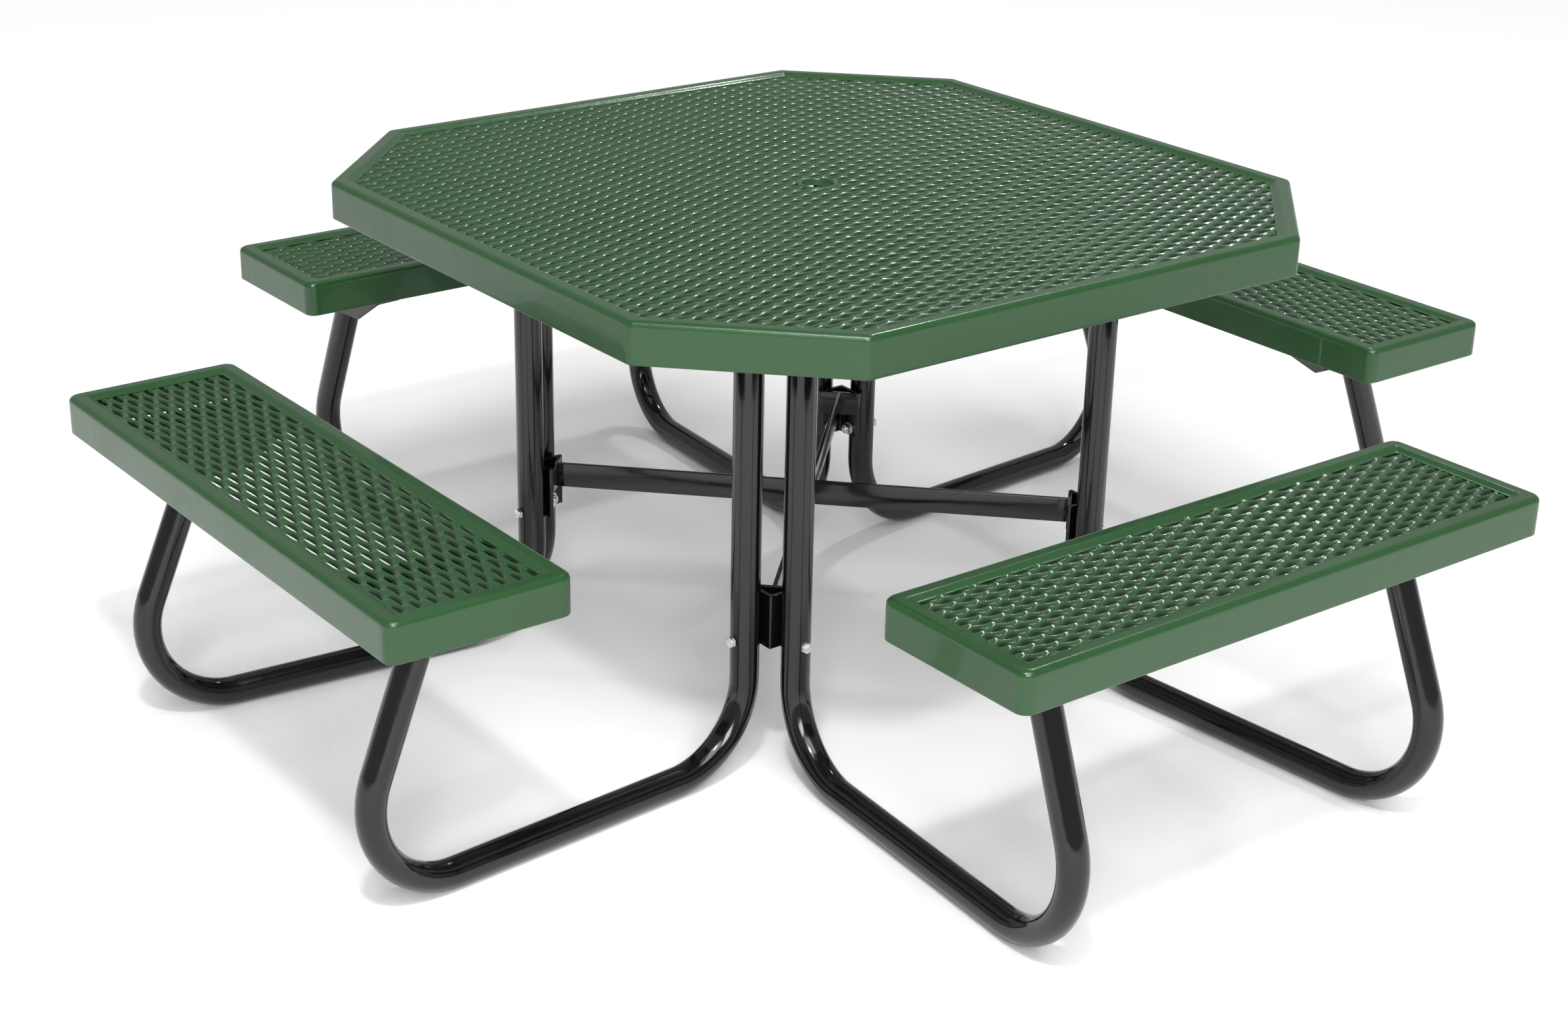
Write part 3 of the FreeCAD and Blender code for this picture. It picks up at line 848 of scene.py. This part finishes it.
@dataclass
class Bench:
    """One backless seat: rim, panel, the joint in its skirt and its two channels.

    A channel's middle line is where the leg's own X axis is at the distance along.
    """

    seat: Seat
    length: float = 914.4
    width: float = 254.0
    top: float = 468.0
    centre: float = 843.0
    rim_depth: float = 55.0
    rim_wall: float = 5.0
    corner_radius: float = 16.0
    channel_width: float = 50.0
    channel_wall: float = 3.0
    channel_along: float = 496.0
    seam_from_end: float = 102.0
    plan: LegPlan = field(default_factory=LegPlan)

    def corners(self) -> np.ndarray:
        """Corners of the +X seat in plan."""
        return box_corners(self.centre - self.width / 2, self.centre + self.width / 2,
                           -self.length / 2, self.length / 2)

    def build(self) -> None:
        """Make and dress the pieces of the seat."""
        turn = 90 * self.seat.value
        word = self.seat.word
        corners = self.corners()
        rim = Rim(corners, self.top, self.rim_depth, corner_radius=self.corner_radius)
        rim_skin = rim.skin() + self.seam()
        make_piece(f"seat_{word}_rim_coated", rim_skin.turned(turn), GREEN_PLASTISOL,
                   [f"seat_{word}_rim"])
        lean = StrandPanel.lean * (-1 if self.seat in (Seat.BACK, Seat.LEFT) else 1)
        panel = StrandPanel(corners, self.top - self.rim_wall, middle=self.centre, lean=lean)
        skin = panel.skin(tuple(corners.min(0)), tuple(corners.max(0))).turned(turn)
        spin = turn_matrix(turn)
        cuts = [(spin @ point, spin @ normal) for point, normal in panel.edge_cuts()]
        make_piece(f"seat_{word}_panel", skin, SEAT_PANEL_COAT, [f"seat_{word}_mesh"], cuts)
        channels = (self.channel(1) + self.channel(-1)).turned(turn)
        make_piece(f"seat_{word}_channels_coated", channels, GREEN_PLASTISOL,
                   [f"seat_{word}_channels"])

    def seam(self) -> Skin:
        """The welded joint of the skirt: a low upright ridge near one end of its inner side.

        Across the joint the ridge is a shallow arc, and along it the ends run out to nothing.

        Returns:
            The closed skin, on the +X bench.
        """
        half_width, rise, sink = 2.6, 1.5, 0.4
        low_gap, high_gap = 2.5, 8.5
        across = np.linspace(-1, 1, 9)
        along = np.linspace(0, 1, 12)
        fade = np.sin(math.pi * np.clip(along, 0.04, 0.96)) ** 0.25
        bulge = rise * (1 - across ** 2)[None, :] * fade[:, None]
        face = self.centre - self.width / 2
        y = -self.length / 2 + self.seam_from_end + half_width * across
        z = self.top - self.rim_depth + low_gap + along * (self.rim_depth - low_gap - high_gap)
        front = np.stack([face - bulge, np.broadcast_to(y, bulge.shape),
                          np.broadcast_to(z[:, None], bulge.shape)], axis=-1)
        back = front[:, ::-1].copy()
        back[..., 0] = face + sink
        loops = np.concatenate([front, back], axis=1)[:, ::-1]
        return grid_skin(loops, wrap_rows=False, caps=True)

    def channel(self, side: int) -> Skin:
        """A channel across the inside of the seat: a U section carried from skirt to skirt.

        Args:
            side: +1 for the channel towards +Y, -1 for the other.

        Returns:
            The closed skin, on the +X bench.
        """
        bottom = self.top - self.rim_depth
        top = self.top - self.rim_wall - StrandPanel.thickness
        half, wall = self.channel_width / 2, self.channel_wall
        section = np.array([[-half, bottom], [half, bottom], [half, top], [half - wall, top],
                            [half - wall, bottom + wall], [-half + wall, bottom + wall],
                            [-half + wall, top], [-half, top]], float)
        radii = np.array([3.0, 3.0, 0.8, 0.8, 2.0, 2.0, 0.8, 0.8])
        loop = rounded(section, radii, 5, NEAR_ENDS)
        middle = self.plan.spot(self.channel_along, side)[1]
        reach = self.width / 2 - self.rim_wall - END_CLEARANCE
        x = np.array([self.centre - reach, self.centre + reach])
        points = np.zeros((2, len(loop), 3))
        points[..., 0] = x[:, None]
        points[..., 1] = middle + loop[:, 0]
        points[..., 2] = loop[:, 1]
        return grid_skin(points, wrap_rows=False, caps=True)


# Legs -------------------------------------------------------------------------------


@dataclass
class Leg:
    """A bent tube from the table's strap to the seat, with its bracket and top plate."""

    seat: Seat
    side: int
    plan: LegPlan = field(default_factory=LegPlan)
    wall: float = 2.8
    bend_radius: float = 125.0
    run_corner: float = 673.0
    lean: float = 22.4
    bend_flattening: float = 0.06
    bracket_start: float = 405.36
    bracket_length: float = 230.0
    bracket_leg: float = 45.0
    bracket_wall: float = 5.0
    inner_trim: float = 60.0
    outer_trim: float = 86.0
    plate_width: float = 46.0
    plate_reach: float = 50.0
    plate_back: float = 22.0
    plate_thickness: float = 5.0
    post_top: float = TableTop.strap_underside - plate_thickness
    seat_underside: float = Bench.top - Bench.rim_depth
    upright_top: float = seat_underside - bracket_wall
    post_bead: float = 2.4
    bracket_bead: float = 2.6
    bead_drop: float = 0.8
    bead_ripples: int = 30

    @property
    def word(self) -> str:
        """Pattern of this leg's node names, with a gap for the name of the sub-part."""
        return f"{self.seat.word}_seat_%s_{self.seat.leg_words()[self.side]}"

    def axis(self) -> tuple[np.ndarray, np.ndarray, np.ndarray]:
        """The tube's axis in the leg's own plane.

        The post goes straight down, an arc turns it into the level run, and a second arc of
        a right angle plus the lean turns it into the upright.

        Returns:
            Points (x, z), directions (x, z), and how far into a bend each point is, 0 to 1.
        """
        radius, level = self.bend_radius, self.plan.tube_radius
        turn = math.radians(90 + self.lean)
        far = self.run_corner - radius * math.tan(turn / 2)
        shares = np.array([0, 0.01, 0.25, 0.5, 0.75, 0.99])
        post_z = self.post_top + (level + radius - self.post_top) * shares
        post = np.stack([np.zeros(6), post_z], -1)
        sweep = np.linspace(0, 1, 19)
        inner = math.pi + sweep * math.pi / 2
        centre = np.array([radius, level + radius])
        inner_bend = centre + radius * np.stack([np.cos(inner), np.sin(inner)], -1)
        run_x = radius + (far - radius) * np.array([0.02, 0.35, 0.65, 0.98])
        run = np.stack([run_x, np.full(4, level)], -1)
        outer = -math.pi / 2 + sweep * turn
        centre = np.array([far, level + radius])
        outer_bend = centre + radius * np.stack([np.cos(outer), np.sin(outer)], -1)
        heading = np.array([math.cos(turn), math.sin(turn)])
        start = outer_bend[-1]
        rise = (self.upright_top - start[1]) / heading[1]
        upright = start + np.array([0.01, 0.33, 0.66, 0.95, 1.0])[:, None] * rise * heading
        points = np.concatenate([post, inner_bend, run, outer_bend, upright])
        angle = np.concatenate([np.full(6, -math.pi / 2), -math.pi / 2 + sweep * math.pi / 2,
                                np.zeros(4), sweep * turn, np.full(5, turn)])
        bend = np.sin(math.pi * sweep) ** 0.5
        amount = np.concatenate([np.zeros(6), bend, np.zeros(4), bend, np.zeros(5)])
        return points, np.stack([np.cos(angle), np.sin(angle)], -1), amount

    def tube(self) -> Skin:
        """A circle carried along the axis, outside going one way and inside coming back.

        In a bend the circle is pressed in across the bend and spreads half as much
        sideways, as a tube does in a bending press. The last ring is slid along the axis
        to the bracket's level.

        Returns:
            The closed skin, in the leg's own frame.
        """
        centre, heading, amount = self.axis()
        steps = 40
        v = np.arange(steps) * 2 * math.pi / steps
        flat = 1 - self.bend_flattening * amount[:, None]
        wide = 1 + self.bend_flattening / 2 * amount[:, None]
        rings = []
        for radius in (self.plan.tube_radius, self.plan.tube_radius - self.wall):
            out = radius * flat * np.cos(v)
            across = radius * wide * np.sin(v)
            x = centre[:, :1] + heading[:, 1:] * out
            z = centre[:, 1:] - heading[:, :1] * out
            ring = np.stack([x, across, z], -1)
            slide = (self.upright_top - ring[-1, :, 2]) / heading[-1, 1]
            ring[-1, :, 0] += slide * heading[-1, 0]
            ring[-1, :, 2] += slide * heading[-1, 1]
            rings.append(ring)
        return grid_skin(np.concatenate([rings[0], rings[1][::-1]]), wrap_rows=True)

    def welds(self) -> Skin:
        """Beads where the tube meets its top plate and its bracket.

        Returns:
            Both beads, in the leg's own frame.
        """
        steps = 72
        u = np.arange(steps) * 2 * math.pi / steps
        radius = self.plan.tube_radius
        outward = np.stack([np.cos(u), np.sin(u), np.zeros(steps)], -1)
        post = radius * outward + np.array([0, 0, self.post_top - self.bead_drop])
        centre, heading, _ = self.axis()
        stretch = np.array([1 / heading[-1, 1], 1, 1])
        end = np.array([centre[-1, 0], 0, self.upright_top - self.bead_drop])
        upright = radius * outward * stretch + end
        return (bead(post, outward, self.post_bead, self.bead_ripples)
                + bead(upright, outward, self.bracket_bead, self.bead_ripples))

    def bracket(self) -> Skin:
        """An angle under the seat: an L section whose web is trimmed at both ends.

        A section point at depth d under the flange runs along X from start + inner trim * d
        to end - outer trim * d, with d as a share of the web's height.

        Returns:
            The closed skin, in the leg's own frame.
        """
        top, leg, wall = self.seat_underside, self.bracket_leg, self.bracket_wall
        inside = self.plan.tube_radius
        outside = inside + wall
        section = np.array([[outside - leg, top - wall], [inside, top - wall], [inside, top - leg],
                            [outside, top - leg], [outside, top], [outside - leg, top]], float)
        radii = np.array([1.5, 3.0, 1.5, 1.5, 3.0, 1.5])
        loop = rounded(section, radii, 5, (0.03, 0.97))
        down = np.clip((top - wall - loop[:, 1]) / (leg - wall), 0, 1)
        start = self.bracket_start + self.inner_trim * down
        end = self.bracket_start + self.bracket_length - self.outer_trim * down
        points = np.zeros((2, len(loop), 3))
        points[..., 0] = np.stack([start, end])
        points[..., 1] = loop[:, 0]
        points[..., 2] = loop[:, 1]
        return grid_skin(points, wrap_rows=False, caps=True)

    def plate(self) -> Skin:
        """The plate on the post, in the row frame, reaching along X to its bolt.

        Returns:
            The closed skin, in its place.
        """
        x, y, direction = self.post_place()
        ends = sorted((x - direction * self.plate_back, x + direction * self.plate_reach))
        half = self.plate_width / 2
        return slab(box_corners(ends[0], ends[1], y - half, y + half), self.post_top,
                    self.post_top + self.plate_thickness, corner_radius=4.0)

    def post_place(self) -> tuple[float, float, int]:
        """The post's x and y, and which way along X its plate reaches.

        Returns:
            The x, the y, and +1 or -1.
        """
        post = turn_matrix(90 * self.seat.value) @ np.array(
            [self.plan.post_out, self.side * self.plan.post_across, 0])
        outward = 1 if post[0] > 0 else -1
        along_x = abs(post[0]) > abs(post[1])
        return float(post[0]), float(post[1]), outward if along_x else -outward

    def build(self) -> None:
        """Make and dress the leg's pieces."""
        place = self.plan.place
        tube = place(self.tube(), self.side, self.seat)
        make_piece(self.word % "leg" + "_tube", tube, BLACK_POWDER_COAT, [self.word % "leg"])
        make_piece(self.word % "leg" + "_welds", place(self.welds(), self.side, self.seat),
                   BLACK_POWDER_COAT, [])
        make_piece(self.word % "bracket" + "_made", place(self.bracket(), self.side, self.seat),
                   BLACK_POWDER_COAT, [self.word % "bracket"])
        make_piece(self.word % "post_plate" + "_made", self.plate(), BLACK_POWDER_COAT,
                   [self.word % "post_plate"])


# Ties between the posts -------------------------------------------------------------


@dataclass
class Ties:
    """Corner angles, the plates across them and the crossed braces."""

    plan: LegPlan = field(default_factory=LegPlan)
    leg: float = 50.8
    wall: float = 6.35
    height: float = 79.0
    top: float = 269.0
    brace_height: float = 38.0
    brace_thickness: float = 6.35

    @property
    def face(self) -> float:
        """Middle of the table to a corner angle's outer face."""
        return self.plan.post_out - self.plan.tube_radius

    @property
    def reach(self) -> float:
        """Middle of the table to the end of a brace, along the diagonal."""
        return (self.face - self.leg + self.face - self.wall) / math.sqrt(2)

    def angle(self) -> Skin:
        """The corner angle on +X +Y: an L outline carried upwards.

        Returns:
            The closed skin.
        """
        f, leg, wall = self.face, self.leg, self.wall
        outline = np.array([[f, f], [f - leg, f], [f - leg, f - wall], [f - wall, f - wall],
                            [f - wall, f - leg], [f, f - leg]])
        return slab(outline, self.top - self.height, self.top, corner_radius=2.0, edge_radius=0.8)

    def plate(self) -> Skin:
        """The plate across the +X +Y corner angle.

        Returns:
            The closed skin.
        """
        heel = (self.face - self.wall) * math.sqrt(2)
        near, far = self.reach, self.reach + self.brace_thickness
        outline = np.array([[near, near - heel], [far, far - heel],
                            [far, heel - far], [near, heel - near]])
        return slab(outline, self.top - self.brace_height, self.top, corner_radius=0.5).turned(45)

    def bar(self, start: float, end: float) -> Skin:
        """A flat bar on edge along the +X +Y diagonal.

        Args:
            start: distance of one end from the table's middle.
            end: distance of the other end.

        Returns:
            The closed skin.
        """
        half = self.brace_thickness / 2
        return slab(box_corners(start, end, -half, half), self.top - self.brace_height, self.top,
                    corner_radius=1.0, edge_radius=1.0).turned(45)

    def build(self) -> None:
        """Make and dress the ties."""
        for corner in Corner:
            turn = 90 * corner.value
            make_piece(f"corner_angle_{corner.word}_made", self.angle().turned(turn),
                       BLACK_POWDER_COAT, [f"corner_angle_{corner.word}"])
            make_piece(f"brace_plate_{corner.word}_made", self.plate().turned(turn),
                       BLACK_POWDER_COAT, [f"brace_plate_{corner.word}"])
        half_bar = self.bar(self.brace_thickness / 2, self.reach)
        bars = {"brace_long": self.bar(-self.reach, self.reach),
                "brace_short_back": half_bar.turned(90), "brace_short_front": half_bar.turned(270)}
        for name, bar in bars.items():
            make_piece(name + "_bar", bar, BLACK_POWDER_COAT, [name])


@dataclass
class Fasteners:
    """Hexagon bolts, nuts and washers, three-eighths of an inch."""

    plan: LegPlan = field(default_factory=LegPlan)
    shank: float = 4.75
    flats: float = 14.3
    head: float = 6.2
    nut: float = 8.0
    washer_radius: float = 10.3
    washer_thickness: float = 1.6
    thread_pitch: float = 1.59
    thread_depth: float = 0.45
    steps: int = 36
    corner_height: float = 202.0
    bracket_bolt_inset: float = 25.0
    plate_bolt: float = 37.0
    thread_end: float = 3.0
    corner_thread: float = 16.0
    seat_thread: float = 14.0
    top_thread: float = 5.0

    def hexagon(self) -> np.ndarray:
        """Radius of the hexagon in each direction: half the flats / cos(angle from a flat)."""
        angle = np.arange(self.steps) * 2 * math.pi / self.steps
        return self.flats / 2 / np.cos(angle % (math.pi / 3) - math.pi / 6)

    def rings(self, height: np.ndarray, limit: np.ndarray) -> np.ndarray:
        """Rings at given heights whose radius is the hexagon's or the limit, if that is less.

        Args:
            height: height of each ring.
            limit: array of rings x steps of greatest radii.

        Returns:
            Array of rings x steps x 3.
        """
        angle = np.arange(self.steps) * 2 * math.pi / self.steps
        radius = np.minimum(self.hexagon()[None, :], limit)
        level = np.broadcast_to(height[:, None], radius.shape)
        return np.stack([radius * np.cos(angle), radius * np.sin(angle), level], -1)

    def bolt(self, grip: float, threaded: float) -> Skin:
        """A bolt whose head's underside is at the origin and whose shank runs along +Z.

        The head is the hexagon inside a cone that leaves a chamfer of 30 degrees. On the
        threaded length the shank's radius falls by depth * (1 - cos(2 pi (z / pitch - turn))) / 2.

        Args:
            grip: length of the shank under the head.
            threaded: length of its thread.

        Returns:
            The closed skin.
        """
        chamfer = self.flats / 2 * 0.93
        drop = np.array([0, 0.2, 0.4, 0.65, 1.0])
        bearing, relief = 6.9, 0.35
        head_z = np.concatenate([drop - self.head, [-relief, -relief, 0.0, 0.0]])
        head_limit = np.concatenate([chamfer + drop * math.sqrt(3),
                                     [self.flats, bearing, bearing, self.shank]])
        turns = np.arange(0, max(threaded - 1.0, 0) / self.thread_pitch, 0.2)
        thread_z = grip - threaded + turns * self.thread_pitch
        angle = np.arange(self.steps) / self.steps
        wave = (1 - np.cos(2 * math.pi * (thread_z[:, None] / self.thread_pitch - angle))) / 2
        head = self.rings(head_z, np.repeat(head_limit[:, None], self.steps, 1))
        thread = self.rings(thread_z, self.shank - self.thread_depth * wave)
        tip_limit = np.array([[self.shank - 0.3], [self.shank - 1.1]])
        tip = self.rings(np.array([grip - 0.9, grip]), np.repeat(tip_limit, self.steps, 1))
        return grid_skin(np.concatenate([head, thread, tip]), wrap_rows=False, caps=True)

    def nut_skin(self) -> Skin:
        """A nut that stands on the origin: chamfered hexagon outside, bore inside.

        Returns:
            The closed skin.
        """
        drop = np.array([0, 0.3, 0.65, 1.0])
        chamfer = self.flats / 2 * 0.95
        bore = self.shank + 0.1
        cone = chamfer + drop * math.sqrt(3)
        limit = np.concatenate([cone, cone[::-1], [bore + 0.6, bore, bore, bore + 0.6]])
        z = np.concatenate([drop, self.nut - drop[::-1], [self.nut, self.nut - 0.6, 0.6, 0.0]])
        return grid_skin(self.rings(z, np.repeat(limit[:, None], self.steps, 1)), wrap_rows=True)

    def washer(self) -> Skin:
        """A plain washer that lies on the origin.

        Returns:
            The closed skin.
        """
        section = np.array([[self.shank + 0.1, 0], [self.washer_radius, 0],
                            [self.washer_radius, self.washer_thickness],
                            [self.shank + 0.1, self.washer_thickness]])
        return lathe(rounded(section, 0.4, 4, NEAR_ENDS), 40)

    def corner_group(self, skin: Skin, out: float) -> Skin:
        """One copy at each post, aimed at the table's middle.

        Args:
            skin: the fastener, standing on the origin.
            out: distance from the table's middle to where it stands.

        Returns:
            All eight copies.
        """
        inward = np.array([[0, 0, -1.0], [0, 1, 0], [1, 0, 0]])
        spots = [(out, side * self.plan.post_across, self.corner_height) for side in (1, -1)]
        return join([skin.mapped(inward, spot).turned(90 * turn)
                     for turn in range(4) for spot in spots])

    def bracket_group(self, skin: Skin, height: float) -> Skin:
        """One upright copy at each bracket bolt.

        Args:
            skin: the fastener, standing on the origin.
            height: height where it stands.

        Returns:
            All sixteen copies.
        """
        near = Leg.bracket_start + self.bracket_bolt_inset
        far = Leg.bracket_start + Leg.bracket_length - self.bracket_bolt_inset
        spots = [self.plan.spot(along, side) for side in (1, -1) for along in (near, far)]
        return join([skin.moved(x, y, height).turned(90 * turn)
                     for turn in range(4) for x, y in spots])

    def build(self) -> None:
        """Make and dress the six groups."""
        inside = self.plan.post_out - self.plan.tube_radius - Ties.wall
        beyond = self.nut + self.thread_end
        corner_bolt = self.bolt(2 * self.plan.tube_radius + Ties.wall + self.washer_thickness
                                + beyond, self.corner_thread)
        seat_bolt = self.bolt(Leg.bracket_wall + Bench.channel_wall + beyond, self.seat_thread)
        top_bolt = self.bolt(Leg.plate_thickness + TableTop.strap_thickness, self.top_thread)
        groups = {
            "corner_bolts": self.corner_group(corner_bolt,
                                              self.plan.post_out + self.plan.tube_radius),
            "corner_washers": self.corner_group(self.washer(), inside),
            "corner_nuts": self.corner_group(self.nut_skin(), inside - self.washer_thickness),
            "seat_bolts": self.bracket_group(seat_bolt, Leg.seat_underside - Leg.bracket_wall),
            "seat_nuts": self.bracket_group(self.nut_skin(),
                                            Leg.seat_underside + Bench.channel_wall),
        }
        heads = []
        for seat in Seat:
            for side in (1, -1):
                leg = Leg(seat, side)
                x, y, direction = leg.post_place()
                bolt_x = x + direction * self.plate_bolt
                heads.append(top_bolt.moved(bolt_x, y, leg.post_top))
        groups["top_bolts"] = join(heads)
        for name, skin in groups.items():
            make_piece(name + "_plated", skin, ZINC_PLATE, [name])


def join(skins: Sequence[Skin]) -> Skin:
    """All skins as one.

    Args:
        skins: the skins to put together.

    Returns:
        The joined skin.
    """
    whole = skins[0]
    for skin in skins[1:]:
        whole = whole + skin
    return whole


# Studio -----------------------------------------------------------------------------


@dataclass
class Studio:
    """Pale floor, soft lights and the camera."""

    camera_place: tuple[float, float, float] = (2.7979, -2.2191, 1.7215)
    azimuth: float = 52.194
    elevation: float = 22.833
    roll: float = 1.271
    lens: float = 58.52
    floor_size: float = 60.0

    def back(self, azimuth: float, elevation: float) -> np.ndarray:
        """Unit vector from the object towards an azimuth and elevation in degrees."""
        a, e = math.radians(azimuth), math.radians(elevation)
        return np.array([math.sin(a) * math.cos(e), -math.cos(a) * math.cos(e), math.sin(e)])

    def add_camera(self) -> None:
        """The camera, level but for a small roll."""
        camera = bpy.data.objects.new("camera", bpy.data.cameras.new("camera"))
        bpy.context.scene.collection.objects.link(camera)
        camera.data.sensor_fit = "HORIZONTAL"
        camera.data.sensor_width = 36.0
        camera.data.lens = self.lens
        camera.data.clip_end = 100.0
        back = self.back(self.azimuth, self.elevation)
        angle, roll = math.radians(self.azimuth), math.radians(self.roll)
        level = np.array([math.cos(angle), math.sin(angle), 0])
        upward = np.cross(back, level)
        right = level * math.cos(roll) + upward * math.sin(roll)
        up = upward * math.cos(roll) - level * math.sin(roll)
        turn = Matrix(np.column_stack([right, up, back]).tolist()).to_4x4()
        camera.matrix_world = Matrix.Translation(self.camera_place) @ turn
        bpy.context.scene.camera = camera

    def add_light(self, name: str, azimuth: float, elevation: float, distance: float,
                  size: tuple[float, float], power: float) -> None:
        """A soft box aimed at the table's middle.

        Args:
            name: the light's name.
            azimuth: its direction in degrees, as for the camera.
            elevation: its height in degrees above the horizon.
            distance: distance from the table's middle, in metres.
            size: width and height in metres.
            power: power in watts.
        """
        light = bpy.data.lights.new(name, "AREA")
        light.shape = "RECTANGLE"
        light.size, light.size_y = size
        light.energy = power
        holder = bpy.data.objects.new(name, light)
        bpy.context.scene.collection.objects.link(holder)
        back = Vector(self.back(azimuth, elevation).tolist())
        holder.location = Vector((0, 0, 0.45)) + back * distance
        holder.rotation_mode = "QUATERNION"
        holder.rotation_quaternion = back.to_track_quat("Z", "Y")

    def add_ceiling(self, azimuth: float, elevation: float, spread: float,
                    strength: float) -> None:
        """A very wide, far light that falls evenly on all of the floor.

        Args:
            azimuth: its direction in degrees, as for the camera.
            elevation: its height in degrees above the horizon.
            spread: how wide it looks, in degrees.
            strength: irradiance in watts per square metre.
        """
        light = bpy.data.lights.new("ceiling", "SUN")
        light.angle = math.radians(spread)
        light.energy = strength
        holder = bpy.data.objects.new("ceiling", light)
        bpy.context.scene.collection.objects.link(holder)
        holder.rotation_mode = "QUATERNION"
        back = Vector(self.back(azimuth, elevation).tolist())
        holder.rotation_quaternion = back.to_track_quat("Z", "Y")

    def add_floor(self) -> None:
        """A flat, pale, matt floor, far larger than the view."""
        mesh = bpy.data.meshes.new("floor")
        corners = box_corners(-0.5, 0.5, -0.5, 0.5) * self.floor_size
        mesh.from_pydata(np.column_stack([corners, np.zeros(4)]), [], [[0, 1, 2, 3]])
        floor = bpy.data.objects.new("floor", mesh)
        bpy.context.scene.collection.objects.link(floor)
        material = bpy.data.materials.new("pale_floor")
        material.use_nodes = True
        shader = material.node_tree.nodes["Principled BSDF"]
        shader.inputs["Base Color"].default_value = linear("#FAFAFA")
        shader.inputs["Roughness"].default_value = 0.9
        mesh.materials.append(material)

    def add_sky(self, strength: float) -> None:
        """Even white light from all sides.

        Args:
            strength: brightness of the sky.
        """
        world = bpy.data.worlds.new("studio")
        world.use_nodes = True
        background = world.node_tree.nodes["Background"]
        background.inputs["Color"].default_value = (1, 1, 1, 1)
        background.inputs["Strength"].default_value = strength
        bpy.context.scene.world = world

    def build(self) -> None:
        """Set up the studio."""
        self.add_camera()
        self.add_floor()
        self.add_sky(0.43)
        self.add_ceiling(azimuth=70, elevation=62, spread=40, strength=1.7)
        self.add_light("key", azimuth=58, elevation=27, distance=9.0, size=(4.2, 2.6), power=440)
        self.add_light("near_spot", azimuth=46, elevation=52, distance=4.5, size=(0.3, 0.3),
                       power=60)
        self.add_light("far_spot", azimuth=207, elevation=51, distance=4.5, size=(0.24, 0.24),
                       power=26)
        bpy.context.scene.view_settings.view_transform = "Standard"


def main() -> None:
    """Build the object and the studio round it."""
    logging.basicConfig(level=logging.INFO, format="%(message)s")
    Studio().build()
    TableTop().build()
    for seat in Seat:
        Bench(seat).build()
        for side in (1, -1):
            Leg(seat, side).build()
    Ties().build()
    Fasteners().build()
    bpy.context.view_layer.update()


if __name__ == "__main__":
    main()
